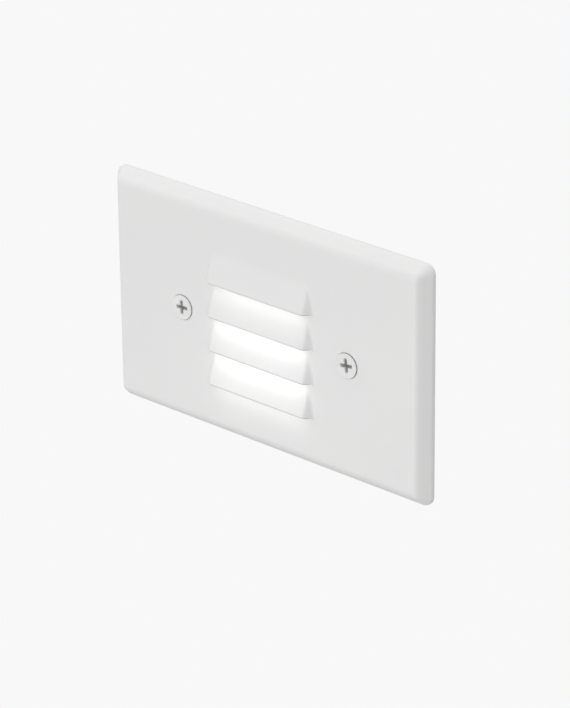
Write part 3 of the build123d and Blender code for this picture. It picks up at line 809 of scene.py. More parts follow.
def cross_radius(angle, reach, half_width):
    """Radius of a cross with four wings at this angle, its corners blended."""
    from_wing = (angle + math.pi / 4) % (math.pi / 2) - math.pi / 4
    end = reach / math.cos(from_wing)
    flank = half_width / max(abs(math.sin(from_wing)), LEAST_SINE)
    return blend_lower(end, flank, RECESS_CORNER * 2)


def ring_of(steps, radius_at, depth):
    """A ring round the axis. Depth counts along the screw from the top of its head."""
    angles = [2 * math.pi * step / steps for step in range(steps)]
    return [(radius_at(a) * math.cos(a), depth, radius_at(a) * math.sin(a)) for a in angles]


def round_rings(steps, path):
    """Plain rings from a path of (radius, depth)."""
    return [ring_of(steps, lambda angle: radius, depth) for radius, depth in path]


def recess_rings(size):
    """The cross recess, from the middle of its floor up to the head's surface."""
    rings = [[(0, size["recess_depth"] + RECESS_POINT, 0)]]
    for depth_share, reach_share, width_share in RECESS_FORM:
        reach = size["recess_reach"] * reach_share
        half_width = size["recess_half_width"] * width_share
        rings.append(ring_of(
            size["ring_steps"], lambda angle: cross_radius(angle, reach, half_width),
            size["recess_depth"] * depth_share + size["surface_at"](reach),
        ))
    return rings


print("a recess has", len(RECESS_FORM), "rings and a point")

# %% [markdown]
# ## Thread and whole screw
# Round rings would give closed grooves, not a thread, and a screw modifier cannot fade its ends out as
# a rolled thread fades. So each ring's radius follows the helix: root, flank, crest, flank, once a turn,
# and the depth of it all shrinks at both ends. One function then makes both kinds of screw.

# %% Rings of a thread and of a whole screw
THREAD_ROWS = 12  # rings for each turn of thread
THREAD_PITCH = 0.79375
THREAD_DEPTH = 0.42
THREAD_CREST = 0.14  # the share of a turn that is flat crest
THREAD_FADE = 0.55  # the length over which the thread runs out at each end
TIP_CROWN = 0.02  # how far the tip's end face bulges
TIP_TAPER = 0.6  # the flat of the tip, as a share of the thread's root


def thread_rings(size):
    """The threaded length. The thread runs out at both ends."""
    start, end = size["thread_start"], size["length"]
    root = size["thread_radius"] - THREAD_DEPTH
    count = round((end - start) / THREAD_PITCH * THREAD_ROWS)
    rings = []
    for row in range(count + 1):
        depth = start + (end - start) * row / count
        fade = min(1, (depth - start) / THREAD_FADE, (end - depth) / THREAD_FADE)

        def radius_at(angle):
            turn = (depth / THREAD_PITCH + angle / (2 * math.pi)) % 1
            flank = (1 - abs(2 * turn - 1) - THREAD_CREST) / (1 - 2 * THREAD_CREST)
            return root + THREAD_DEPTH * fade * min(max(1 - flank, 0), 1)

        rings.append(ring_of(size["ring_steps"], radius_at, depth))
    return rings


def screw_points(size, place, clock):
    """Rings of the whole screw, turned by its clock angle and put at its place."""
    tip = size["length"] + TIP_CROWN
    tip_radius = (size["thread_radius"] - THREAD_DEPTH) * TIP_TAPER
    rings = recess_rings(size) + round_rings(size["ring_steps"], size["head_path"])
    rings += thread_rings(size) + round_rings(size["ring_steps"], [(tip_radius, tip)])
    rings.append([(0, tip, 0)])
    turn = Matrix.Rotation(-math.radians(clock), 3, "Y")
    return [[Vector(place) + turn @ Vector(point) for point in ring] for ring in rings]


print("a thread of", THREAD_PITCH, "mm pitch has", THREAD_ROWS, "rings a turn")

# %% [markdown]
# ## The two painted cover screws
# Their flat heads fill the dimples and stand out by a third of a millimetre. A plain cone with a flat
# top would look stamped out of card. The edge of a real head is rounded and catches the light, so its
# rings lie close together there. The recesses stand as in the photograph, each a little turned.

# %% Make the cover screws
COVER_SCREW_LENGTH = 9.53
HEAD_TOP_RINGS = (2.5, 2.9)
HEAD_EDGE_ROUND = 0.13
HEAD_EDGE_STEPS = 5
HEAD_EDGE_GUARD = 0.08
BREAK_IN, BREAK_DOWN = 0.05, 0.06  # a small break where a straight side turns
NECK_END, THREAD_START = 0.2, 0.25  # both from the end of the cone
SCREW_RADIUS = 1.74
SCREW_CLOCKS = {"left": 3, "right": 8}  # degrees anticlockwise

root_radius = SCREW_RADIUS - THREAD_DEPTH
cone_end = HEAD_LAND + (HEAD_RADIUS - root_radius) / math.tan(CONE_HALF_ANGLE)
head_path = [(radius, 0) for radius in HEAD_TOP_RINGS]
head_path.append((HEAD_RADIUS - HEAD_EDGE_ROUND - HEAD_EDGE_GUARD, 0))
for turn in spread(0, math.pi / 2, HEAD_EDGE_STEPS):
    inward = HEAD_EDGE_ROUND * (1 - math.sin(turn))
    head_path.append((HEAD_RADIUS - inward, HEAD_EDGE_ROUND * (1 - math.cos(turn))))
head_path += [
    (HEAD_RADIUS, HEAD_LAND),
    (HEAD_RADIUS - BREAK_IN, HEAD_LAND + BREAK_DOWN),
    (root_radius, cone_end),
    (root_radius, cone_end + NECK_END),
]
flat_head = {
    "recess_depth": 1.7,
    "recess_reach": 2.15,
    "recess_half_width": 0.55,
    "surface_at": lambda radius: 0,
    "ring_steps": 96,
    "head_path": head_path,
    "thread_start": cone_end + THREAD_START,
    "thread_radius": SCREW_RADIUS,
    "length": COVER_SCREW_LENGTH - TIP_CROWN,
}
for side, screw_x in (("left", -SCREW_X), ("right", SCREW_X)):
    rings = screw_points(flat_head, (screw_x, -FACE_HEIGHT - HEAD_PROUD, 0), SCREW_CLOCKS[side])
    points, faces = skin_rings(rings)
    make_piece(
        f"{side}_painted_screw", points, faces,
        f"{side}_screw", [f"{side}_cover_screw"], "screw_paint",
    )

# %% [markdown]
# ## The two box screws
# They hold the module in the wall box: a rounded head, a thin neck on which the washer stays captive,
# and a long thread. The same rings do, with a dome for the surface that the recess opens in. The record
# counts both as one piece, so both are put into one mesh.

# %% Make the box screws
BOX_SCREW_X = 41.67
BOX_HEAD_TOP_Y = -3.2
BOX_HEAD_HEIGHT = 2.0
BOX_HEAD_RADIUS = 3.5
BOX_HEAD_EDGE = 0.35  # the short straight side under the rounded head
BOX_DOME_RINGS = (2.0, 2.3, 2.6, 2.9, 3.2, 3.4)
BOX_NECK_RADIUS = 1.35
BOX_NECK_STEP = 0.02
BOX_SCREW_RADIUS = 1.75
BOX_SCREW_CLOCK = 27
BOX_NECK_END_Y = 0.45
BOX_SCREW_TIP_Y = 24.2

dome_rise = BOX_HEAD_HEIGHT - BOX_HEAD_EDGE
dome_radius = (BOX_HEAD_RADIUS ** 2 + dome_rise ** 2) / (2 * dome_rise)
neck_end = BOX_NECK_END_Y - BOX_HEAD_TOP_Y


def dome_at(radius):
    """How deep the rounded head's surface lies under its top at this radius."""
    return dome_radius - math.sqrt(max(dome_radius ** 2 - radius ** 2, 0))


rounded_head = {
    "recess_depth": 1.35,
    "recess_reach": 1.75,
    "recess_half_width": 0.5,
    "surface_at": dome_at,
    "ring_steps": 48,
    "head_path": [(radius, dome_at(radius)) for radius in BOX_DOME_RINGS] + [
        (BOX_HEAD_RADIUS, dome_rise + BREAK_DOWN),
        (BOX_HEAD_RADIUS, BOX_HEAD_HEIGHT - BREAK_IN),
        (BOX_HEAD_RADIUS - BREAK_IN, BOX_HEAD_HEIGHT),
        (BOX_NECK_RADIUS, BOX_HEAD_HEIGHT),
        (BOX_NECK_RADIUS, neck_end - BOX_NECK_STEP),
    ],
    "thread_start": neck_end,
    "thread_radius": BOX_SCREW_RADIUS,
    "length": BOX_SCREW_TIP_Y - BOX_HEAD_TOP_Y - TIP_CROWN,
}
points, faces = [], []
for screw_x in (-BOX_SCREW_X, BOX_SCREW_X):
    rings = screw_points(rounded_head, (screw_x, BOX_HEAD_TOP_Y, 0), BOX_SCREW_CLOCK)
    more_points, more_faces = skin_rings(rings)
    faces += [tuple(index + len(points) for index in face) for face in more_faces]
    points += more_points
make_piece("long_box_screws", points, faces, "light_module", ["box_screws"], "zinc_steel")

# %% [markdown]
# ## Finishes from a few shared effects
# Every surface here is paint, plated steel, plastic, rubber, paper or a coated board. What tells them
# apart is small: a grain, a drift of tone, places that hands have rubbed smoother, lines from rolling.
# Each such effect is a node group with named inputs, built once. A finish is then a Principled shader
# with the groups' outputs plugged in, and numbers that hold all over stay on the shader's own sockets.
# All patterns use object coordinates, which are metres here, so a size is a real size.

# %% Node helpers
MIX_INPUTS, MIX_OUTPUT = (0, 6, 7), 2  # a mix node's sockets for share, first and second colour


def add_node(tree, kind, **settings):
    node = tree.nodes.new(kind)
    for name, value in settings.items():
        setattr(node, name, value)
    return node


def plug(tree, source, target):
    """Link an output to an input, or set the input if the source is a plain value."""
    if isinstance(source, bpy.types.NodeSocket):
        tree.links.new(source, target)
    else:
        target.default_value = source


def math_node(tree, operation, first, second=0.0, third=0.0):
    node = add_node(tree, "ShaderNodeMath", operation=operation)
    for source, target in zip((first, second, third), node.inputs):
        plug(tree, source, target)
    return node.outputs[0]


def vector_node(tree, operation, first, second):
    node = add_node(tree, "ShaderNodeVectorMath", operation=operation)
    plug(tree, first, node.inputs[0])
    plug(tree, second, node.inputs[1])
    return node.outputs["Value" if operation == "DOT_PRODUCT" else "Vector"]


def mix_colours(tree, share, first, second):
    node = add_node(tree, "ShaderNodeMix", data_type="RGBA")
    for source, socket in zip((share, first, second), MIX_INPUTS):
        plug(tree, source, node.inputs[socket])
    return node.outputs[MIX_OUTPUT]


def stepped(tree, value, low, high):
    """A value mapped smoothly, so that it is 0 at the low end and 1 at the high end."""
    node = add_node(tree, "ShaderNodeMapRange", interpolation_type="SMOOTHSTEP")
    for source, target in zip((value, low, high), node.inputs):
        plug(tree, source, target)
    return node.outputs[0]


print("a mix node takes its colours at sockets", *MIX_INPUTS[1:])

# %% [markdown]
# ## Groups and noise
# A group is a small tree of its own, whose sockets are declared before anything is linked. Noise takes
# a scale, which counts lumps in a metre. A maker thinks in sizes, so the helper turns one into the other.

# %% Helpers for groups
SOCKET_KINDS = {float: "NodeSocketFloat", tuple: "NodeSocketColor", list: "NodeSocketVector"}


def start_group(name, inputs, outputs):
    """A node group with named sockets. A socket's kind follows its value: number, colour, vector."""
    tree = bpy.data.node_groups.new(name, "ShaderNodeTree")
    for label, value in inputs.items():
        kind = SOCKET_KINDS[type(value)]
        socket = tree.interface.new_socket(name=label, in_out="INPUT", socket_type=kind)
        socket.default_value = value
    for label, kind in outputs.items():
        tree.interface.new_socket(name=label, in_out="OUTPUT", socket_type=SOCKET_KINDS[kind])
    entry = add_node(tree, "NodeGroupInput")
    leave = add_node(tree, "NodeGroupOutput")
    return tree, entry.outputs, leave.inputs


def object_place(tree):
    """Where the surface point lies in the piece's own coordinates, in metres."""
    return add_node(tree, "ShaderNodeTexCoord").outputs["Object"]


def cloud(tree, place, size, detail=2.0):
    """Soft noise, from 0 to 1, with lumps of this size in metres."""
    noise = add_node(tree, "ShaderNodeTexNoise")
    plug(tree, place, noise.inputs["Vector"])
    plug(tree, math_node(tree, "DIVIDE", 1.0, size), noise.inputs["Scale"])
    noise.inputs["Detail"].default_value = detail
    return noise.outputs[0]


print("groups may have", len(SOCKET_KINDS), "kinds of sockets")

# %% [markdown]
# ## Drifting tone and rubbed places
# No batch of paint or plastic has exactly one colour, and no surface is equally smooth where it was
# handled. A painted texture could hold both, but it would have to be unwrapped and stored. Soft noise
# does it at any size: one effect drifts between two near colours, the other swings the roughness.

# %% Two slow effects
tone_drift, given, made = start_group(
    "tone_drift", {"Colour": (1, 1, 1, 1), "Other Colour": (1, 1, 1, 1), "Size": 0.02},
    {"Colour": tuple},
)
lumps = cloud(tone_drift, object_place(tone_drift), given["Size"], detail=3.0)
share = stepped(tone_drift, lumps, low=0.3, high=0.7)
drifting = mix_colours(tone_drift, share, given["Colour"], given["Other Colour"])
plug(tone_drift, drifting, made["Colour"])

rubbed, given, made = start_group(
    "rubbed", {"Roughness": 0.5, "Change": 0.1, "Size": 0.01}, {"Roughness": float}
)
lumps = cloud(rubbed, object_place(rubbed), given["Size"], detail=4.0)
swing = math_node(rubbed, "SUBTRACT", lumps, 0.5)
swung = math_node(rubbed, "MULTIPLY_ADD", swing, given["Change"], given["Roughness"])
plug(rubbed, swung, made["Roughness"])
print("slow effects:", tone_drift.name, "and", rubbed.name)

# %% [markdown]
# ## Grain, pores and bands
# Fine relief tells materials apart: moulded grain and rolled lines, the cut bubbles of foam, tracks and
# tape wound in turns. Modelling it would take millions of faces, so each effect puts out a height for a
# bump, and a mask that says where its marks are, for colour.

# %% Three fine effects
FINER = 0.21  # the second, finer layer of grain against the first

fine_grain, given, made = start_group(
    "fine_grain", {"Size": 0.0006, "Stretch": [1.0, 1.0, 1.0], "Fine Share": 0.3},
    {"Height": float, "Mask": float},
)
stretched = vector_node(fine_grain, "DIVIDE", object_place(fine_grain), given["Stretch"])
coarse = cloud(fine_grain, stretched, given["Size"])
fine = cloud(fine_grain, stretched, math_node(fine_grain, "MULTIPLY", given["Size"], FINER))
fine_part = math_node(fine_grain, "MULTIPLY", fine, given["Fine Share"])
plug(fine_grain, math_node(fine_grain, "ADD", coarse, fine_part), made["Height"])
plug(fine_grain, stepped(fine_grain, coarse, low=0.42, high=0.62), made["Mask"])

pores, given, made = start_group("pores", {"Size": 0.0004}, {"Height": float, "Mask": float})
cells = add_node(pores, "ShaderNodeTexVoronoi")
plug(pores, object_place(pores), cells.inputs["Vector"])
plug(pores, math_node(pores, "DIVIDE", 1.0, given["Size"]), cells.inputs["Scale"])
from_middle = cells.outputs["Distance"]
plug(pores, stepped(pores, from_middle, low=0.0, high=0.5), made["Height"])
plug(pores, stepped(pores, from_middle, low=0.36, high=0.12), made["Mask"])

bands, given, made = start_group(
    "bands", {"Pitch": 0.001, "Across": [0.0, 0.0, 1.0], "Line Share": 0.2},
    {"Height": float, "Mask": float},
)
along = vector_node(bands, "DOT_PRODUCT", object_place(bands), given["Across"])
in_turn = math_node(bands, "PINGPONG", math_node(bands, "DIVIDE", along, given["Pitch"]), 0.5)
plug(bands, math_node(bands, "MULTIPLY", in_turn, 2.0), made["Height"])
half_line = math_node(bands, "MULTIPLY", given["Line Share"], 0.5)
full_line = math_node(bands, "MULTIPLY", half_line, 0.5)
plug(bands, stepped(bands, in_turn, low=half_line, high=full_line), made["Mask"])
print("effects:", ", ".join(group.name for group in bpy.data.node_groups))

# %% [markdown]
# ## One recipe for every finish
# A finish has a colour that drifts a little, a roughness with rubbed places and a bump from one grain.
# Each could be wired by hand, but then they would soon differ by accident. The recipe takes the values
# by name, files the material under its slot and gives back its shader, so that a finish that needs
# more, such as a glow or tracks, can add it. The bump's depth is a real depth in metres.

# %% The recipe
finishes = {}


def use_group(tree, group, **values):
    """Place an effect with its own values. A value's name is the socket's, with _ for a space."""
    node = add_node(tree, "ShaderNodeGroup", node_tree=group)
    for name, value in values.items():
        plug(tree, value, node.inputs[name.replace("_", " ").title()])
    return node.outputs


def start_finish(slot, name, colour, other, grain, grain_depth, drift=0.01, roughness=0.5,
                 change=0.1, rub_size=0.006, metallic=0.0, specular=0.5):
    """The material of one slot, as its tree and shader. The grain is a (group, values) pair."""
    material = bpy.data.materials.new(name)
    material.use_nodes = True
    finishes[slot] = material
    tree = material.node_tree
    shader = tree.nodes["Principled BSDF"]
    shader.inputs["Metallic"].default_value = metallic
    shader.inputs["Specular IOR Level"].default_value = specular
    drifted = use_group(tree, tone_drift, colour=(*colour, 1), other_colour=(*other, 1), size=drift)
    plug(tree, drifted["Colour"], shader.inputs["Base Color"])
    rub = use_group(tree, rubbed, roughness=roughness, change=change, size=rub_size)
    plug(tree, rub["Roughness"], shader.inputs["Roughness"])
    group, values = grain
    bump = add_node(tree, "ShaderNodeBump")
    bump.inputs["Distance"].default_value = grain_depth
    plug(tree, use_group(tree, group, **values)["Height"], bump.inputs["Height"])
    plug(tree, bump.outputs["Normal"], shader.inputs["Normal"])
    return tree, shader


def tint(tree, shader, mask, colour):
    """Lay another colour over the base colour where the mask is 1."""
    base = shader.inputs["Base Color"]
    under = base.links[0].from_socket
    plug(tree, mix_colours(tree, mask, under, (*colour, 1)), base)


def object_axis(tree, axis):
    """One object coordinate, in metres."""
    parts = add_node(tree, "ShaderNodeSeparateXYZ")
    plug(tree, object_place(tree), parts.inputs[0])
    return parts.outputs["XYZ".index(axis)]


print("the recipe mixes", tone_drift.name, "with", rubbed.name, "and one grain")

# %% [markdown]
# ## White powder coat
# The cover is powder coated: a satin white whose surface has a faint orange peel, about half a
# millimetre from hill to hill and a few thousandths deep. It shows only as a soft break-up of glints.
# The rounded lower edges of the hood lips turn downward and lie in shade, so that shade is painted on
# as a grey band along each lip. Powder also pulls back a little from a sheared edge while it melts. A
# painted mask could mark the band, but it would have to be painted again for every change of form. How
# far a point lies over the lip below it, and how far it stands out, say the same by calculation.

# %% Coat the cover
LIP_SHADE_AND_THIN_COAT = (0.56, 0.56, 0.56)
LIP_SHADE_FULL_UP_TO = LIP_EDGE_ROUND * 0.45
STANDS_OUT = (0.5, 0.9)  # from here on, and fully from there on, a point belongs to a hood

tree, shader = start_finish(
    "white_paint", "powder_coat", (0.800, 0.802, 0.798), (0.815, 0.815, 0.811), drift=0.03,
    roughness=0.42, rub_size=0.012,
    grain=(fine_grain, {"size": 0.0007, "fine_share": 0.35}), grain_depth=0.000012,
)
hoods_up = math_node(tree, "SUBTRACT", object_axis(tree, "Z"), LOWEST_LIP_Z * MM)
over_lip = math_node(tree, "WRAP", hoods_up, HOOD_PITCH * MM, 0.0)
lip_shade_band = stepped(tree, over_lip, low=LIP_EDGE_ROUND * MM, high=LIP_SHADE_FULL_UP_TO * MM)
hood_starts, hood_stands = (-(FACE_HEIGHT + out) * MM for out in STANDS_OUT)
on_hood = stepped(tree, object_axis(tree, "Y"), low=hood_starts, high=hood_stands)
# the grey laid along the lips is painted shade of their downturned rounded edges, with a little thinner coat
tint(tree, shader, math_node(tree, "MULTIPLY", lip_shade_band, on_hood), LIP_SHADE_AND_THIN_COAT)
print("powder coat thins out below", LIP_EDGE_ROUND, "mm over a lip")

# %% [markdown]
# ## Enamelled screws
# The heads are enamelled after plating. The shade that falls deep in the recess is painted in as grey,
# together with enamel that drivers wear thin there, and below the head the zinc is bare. Two materials
# on one mesh would meet in a hard line of faces, so the depth along the screw decides instead where the
# painted recess shade begins and where the enamel gives way to metal.

# %% Enamel the cover screws
RECESS_SHADE_AND_WEAR = (0.48, 0.48, 0.48)
ZINC = (0.62, 0.63, 0.65)
RECESS_SHADE_DEPTHS = (0.12, 0.75)  # under the top of the head, where it starts and where it is full
BARE_DEPTHS = (2.1, 2.3)

tree, shader = start_finish(
    "screw_paint", "enamelled_screw", (0.835, 0.836, 0.832), (0.80, 0.80, 0.795), drift=0.003,
    roughness=0.32, change=0.14, rub_size=0.002,
    grain=(fine_grain, {"size": 0.0004}), grain_depth=0.000006,
)
head_top = FACE_HEIGHT + HEAD_PROUD
recess_shade, bare = (
    stepped(tree, object_axis(tree, "Y"), low=(low - head_top) * MM, high=(high - head_top) * MM)
    for low, high in (RECESS_SHADE_DEPTHS, BARE_DEPTHS)
)
# painted shade in the recess, darker with depth, with some wear from drivers
tint(tree, shader, recess_shade, RECESS_SHADE_AND_WEAR)
tint(tree, shader, bare, ZINC)
plug(tree, bare, shader.inputs["Metallic"])
print("enamel ends", BARE_DEPTHS[1], "mm under the top of the head")

# %% [markdown]
# ## Bare metal
# Yoke and screws are zinc plated: bright, faintly blue, with drifting yellowish patches from the dip
# and fine lines from the rolled strip. The heat sink is plain aluminium sheet with lines the other way.
# A plain grey metal would look like a drawing, and stretched grain gives the lines at no cost.
# A ground screw is dipped in green, which stays shiny like the metal under it.

# %% Zinc, aluminium and the green screw
ALONG_STRIP = [14.0, 1.0, 1.0]  # the grain is this much longer along the strip
ALONG_SHEET = [1.0, 1.0, 16.0]

start_finish(
    "zinc_steel", "zinc_plate", (0.60, 0.61, 0.63), (0.66, 0.64, 0.58), drift=0.007,
    roughness=0.30, change=0.16, rub_size=0.003, metallic=1.0,
    grain=(fine_grain, {"size": 0.00022, "stretch": ALONG_STRIP, "fine_share": 0.6}),
    grain_depth=0.000006,
)
start_finish(
    "heat_sink", "rolled_aluminium", (0.74, 0.745, 0.75), (0.66, 0.665, 0.67), drift=0.009,
    roughness=0.36, change=0.12, rub_size=0.004, metallic=1.0,
    grain=(fine_grain, {"size": 0.0002, "stretch": ALONG_SHEET, "fine_share": 0.5}),
    grain_depth=0.000006,
)
start_finish(
    "green_screw", "green_dip", (0.035, 0.30, 0.10), (0.02, 0.21, 0.07), drift=0.002,
    roughness=0.28, change=0.14, rub_size=0.001, metallic=0.35,
    grain=(fine_grain, {"size": 0.0003}), grain_depth=0.000008,
)
print("finishes so far:", len(finishes))

# %% [markdown]
# ## Moulded plastics
# Moulded parts carry the texture of their mould: a fine spark-eroded grain outside, smoother inside.
# The housing is a slightly warm white that yellows unevenly. Bezel and reflector are whiter, the
# reflector nearly as white as paint can be. Nylon is cream and a little waxy. They differ only in
# numbers, so one table holds them, and one loop makes them.

# %% Plastics
MICRON = 1e-6
PLASTICS = (  # slot, name, colour, other colour, roughness, grain in mm, its depth in microns
    ("housing_plastic", "housing_plastic", (0.76, 0.76, 0.735), (0.72, 0.715, 0.68), 0.50, 0.35, 22),
    ("bezel_plastic", "bezel_plastic", (0.83, 0.83, 0.82), (0.80, 0.80, 0.785), 0.42, 0.3, 14),
    ("reflector_white", "reflector_white", (0.90, 0.90, 0.895), (0.87, 0.87, 0.86), 0.30, 0.6, 6),
    ("nylon", "natural_nylon", (0.80, 0.785, 0.71), (0.74, 0.72, 0.63), 0.45, 0.5, 10),
    ("connector_white", "connector_nylon", (0.82, 0.81, 0.77), (0.77, 0.76, 0.71), 0.40, 0.45, 8),
    ("board_white", "white_solder_mask", (0.86, 0.86, 0.84), (0.83, 0.83, 0.80), 0.34, 0.8, 4),
    ("film_box", "film_box_yellow", (0.72, 0.50, 0.08), (0.66, 0.44, 0.06), 0.38, 0.4, 8),
    ("varistor_blue", "varistor_lacquer", (0.045, 0.16, 0.42), (0.03, 0.11, 0.32), 0.25, 0.9, 40),
    ("fuse_sleeve", "fuse_lacquer", (0.30, 0.44, 0.36), (0.24, 0.37, 0.30), 0.45, 0.6, 16),
    ("can_sleeve", "can_sleeve_blue", (0.05, 0.06, 0.12), (0.035, 0.04, 0.09), 0.26, 1.2, 6),
    ("chip_black", "moulded_epoxy", (0.028, 0.028, 0.030), (0.045, 0.045, 0.047), 0.55, 0.18, 12),
)
for slot, name, colour, other, roughness, grain_mm, microns in PLASTICS:
    start_finish(
        slot, name, colour, other, drift=0.012, roughness=roughness, change=0.12, rub_size=0.005,
        grain=(fine_grain, {"size": grain_mm * MM, "fine_share": 0.5}), grain_depth=microns * MICRON,
    )
print(len(PLASTICS), "plastics done")

# %% [markdown]
# ## Two leads, told apart
# The lead pair between driver and diodes is one red and one black lead, as direct current wants it. The
# record counts the pair as one piece with one slot. They lie side by side, so one material can serve
# both: the height above the middle tells which is which.

# %% Red and black insulation
LEAD_RED = (0.42, 0.025, 0.02)
LEAD_BLACK = (0.02, 0.02, 0.022)
LEAD_SPLIT = 0.00005  # half the height over which red turns to black

tree, shader = start_finish(
    "lead_insulation", "lead_insulation", LEAD_RED, LEAD_RED, drift=0.012, roughness=0.36,
    change=0.12, rub_size=0.005,
    grain=(fine_grain, {"size": 0.0007, "fine_share": 0.5}), grain_depth=0.000006,
)
lower_lead = stepped(tree, object_axis(tree, "Z"), low=LEAD_SPLIT, high=-LEAD_SPLIT)
tint(tree, shader, lower_lead, LEAD_BLACK)
print("leads done")

# %% [markdown]
# ## Soft and fibrous finishes
# Foam is full of cut bubbles, so its height comes from pores, and the shade inside the pores is painted
# in as a darker colour. Silicone and rubber are smooth but dull. Fibre washers and insulating paper are
# pressed from fibres, which show as short flecks all one way, and a stretched grain gives just that.

# %% Foam, rubber, silicone, fibre and paper
FOAM_PORE = 0.00045
PORE_SHADE = (0.012, 0.012, 0.013)
SOFT_SHEETS = (  # slot, name, colour, other, roughness, grain in mm, its stretch, depth in microns
    ("bushing_rubber", "bushing_rubber", (0.024, 0.024, 0.025), (0.035, 0.035, 0.036), 0.62, 0.4, 1.0, 20),
    ("clear_silicone", "silicone", (0.66, 0.66, 0.64), (0.60, 0.60, 0.575), 0.48, 0.9, 1.0, 12),
    ("thermal_pad", "thermal_pad", (0.36, 0.40, 0.46), (0.30, 0.34, 0.40), 0.72, 0.5, 1.0, 30),
    ("red_fibre", "vulcanised_fibre", (0.34, 0.075, 0.045), (0.27, 0.05, 0.03), 0.60, 0.3, 6.0, 20),
    ("fish_paper", "fish_paper", (0.22, 0.25, 0.27), (0.17, 0.195, 0.215), 0.66, 0.3, 8.0, 18),
    ("ferrite", "ferrite", (0.050, 0.048, 0.047), (0.075, 0.070, 0.068), 0.60, 0.25, 1.0, 30),
)
tree, shader = start_finish(
    "black_foam", "closed_cell_foam", (0.030, 0.030, 0.032), (0.045, 0.045, 0.047), roughness=0.85,
    specular=0.3, grain=(pores, {"size": FOAM_PORE}), grain_depth=0.00012,
)
# painted shade inside the pores
tint(tree, shader, use_group(tree, pores, size=FOAM_PORE)["Mask"], PORE_SHADE)
for slot, name, colour, other, roughness, grain_mm, stretch, microns in SOFT_SHEETS:
    flecks = {"size": grain_mm * MM, "stretch": [stretch, 1.0, 1.0], "fine_share": 0.7}
    start_finish(
        slot, name, colour, other, drift=0.004, roughness=roughness, change=0.12, specular=0.4,
        grain=(fine_grain, flecks), grain_depth=microns * MICRON,
    )
print("soft finishes done:", len(SOFT_SHEETS) + 1)

# %% [markdown]
# ## The driver's circuit board
# A solder mask is a clear green over copper: over the tracks it looks lighter, in between darker. A
# drawn layout could be laid over it as a picture, but a pattern of straight bands each way, broken up
# by patches, gives tracks without copying a real one.

# %% Solder mask
COPPER = (0.035, 0.21, 0.075)
COPPER_SHOWS = 0.8

tree, shader = start_finish(
    "board_green", "green_solder_mask", (0.012, 0.115, 0.045), (0.018, 0.14, 0.055), drift=0.006,
    roughness=0.30, grain=(fine_grain, {"size": 0.0007}), grain_depth=0.000010,
)
upright = use_group(tree, bands, pitch=0.0051, across=[1.0, 0.0, 0.0], line_share=0.42)["Mask"]
level = use_group(tree, bands, pitch=0.0083, across=[0.0, 0.0, 1.0], line_share=0.55)["Mask"]
patches = use_group(tree, fine_grain, size=0.006)["Mask"]
tracks = math_node(tree, "MULTIPLY", math_node(tree, "MAXIMUM", upright, level), patches)
tint(tree, shader, math_node(tree, "MULTIPLY", tracks, COPPER_SHOWS), COPPER)
print("board done")

# %% [markdown]
# ## Coil and diodes
# The coil is wound in yellow tape whose turns overlap in steps: the same bands give the steps and their
# darker edges. The diodes are yellow phosphor. Lamps in them would need very many rays, so the phosphor
# glows by itself.

# %% Coil tape and phosphor
TURNS = {"pitch": 0.0021, "across": [0.35, 0.0, 0.94], "line_share": 0.12}
TAPE_EDGE = (0.40, 0.27, 0.03)
TAPE_EDGE_SHOWS = 0.5
DIODE_LIGHT = (1.0, 0.95, 0.85, 1.0)
DIODE_GLOW = 6.0

tree, shader = start_finish(
    "coil_tape", "coil_tape", (0.70, 0.52, 0.07), (0.64, 0.46, 0.05), drift=0.004, roughness=0.28,
    grain=(bands, TURNS), grain_depth=0.00006,
)
edges = use_group(tree, bands, **TURNS)["Mask"]
tint(tree, shader, math_node(tree, "MULTIPLY", edges, TAPE_EDGE_SHOWS), TAPE_EDGE)

_, shader = start_finish(
    "diode_phosphor", "phosphor", (0.90, 0.74, 0.26), (0.88, 0.68, 0.20), drift=0.0012,
    roughness=0.30, grain=(fine_grain, {"size": 0.0005}), grain_depth=0.000010,
)
shader.inputs["Emission Color"].default_value = DIODE_LIGHT
shader.inputs["Emission Strength"].default_value = DIODE_GLOW
print("coil and diodes done")

# %% [markdown]
# ## The opal lens
# The lens spreads the diodes' light so well that it looks like one glowing sheet, a little brighter
# over each diode. Real scattering would render slowly and noisily, so it is a plain milky white with a
# satin surface that glows by itself.

# %% Opal lens
LENS_GLOW = 1.6
GLOW_COLOURS = ((1.0, 0.985, 0.96, 1.0), (0.97, 0.96, 0.945, 1.0))

tree, shader = start_finish(
    "opal_lens", "opal_lens", (0.90, 0.90, 0.89), (0.88, 0.88, 0.865), drift=0.008, roughness=0.30,
    change=0.08, grain=(fine_grain, {"size": 0.0006}), grain_depth=0.000006,
)
warm_spots = use_group(tree, fine_grain, size=0.009, fine_share=0.0)["Mask"]
plug(tree, mix_colours(tree, warm_spots, *GLOW_COLOURS), shader.inputs["Emission Color"])
shader.inputs["Emission Strength"].default_value = LENS_GLOW
print("lens done")

# %% [markdown]
# ## Put every finish on its pieces
# Materials could be handed out one by one, but a new piece would then be forgotten easily. The record
# names a material slot for each engineered piece, and the pieces made here name theirs, so one loop
# can dress them all.

# %% Dress the pieces
slot_of = {part["node"]: part["material_slot"] for part in frame["record"]["subparts"]}
dressed = 0
for name, node in nodes.items():
    node.data.materials.clear()
    node.data.materials.append(finishes[slot_of[name]])
    dressed += 1
for piece in scene.objects:
    if piece.get("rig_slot"):
        piece.data.materials.append(finishes[piece["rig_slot"]])
        dressed += 1
print(dressed, "pieces dressed in", len(finishes), "finishes")

# %% [markdown]
# ## Softened edges
# No moulded or stamped edge is perfectly sharp: a thin line of light runs along it, and without that
# line a piece looks like a drawing. The engineered meshes stay as they are, but modifiers may work on
# top: weld their split corners, bevel what turns by more than an angle, and weight the normals by face
# area so that flat faces stay flat. The width follows how each kind of piece is made.

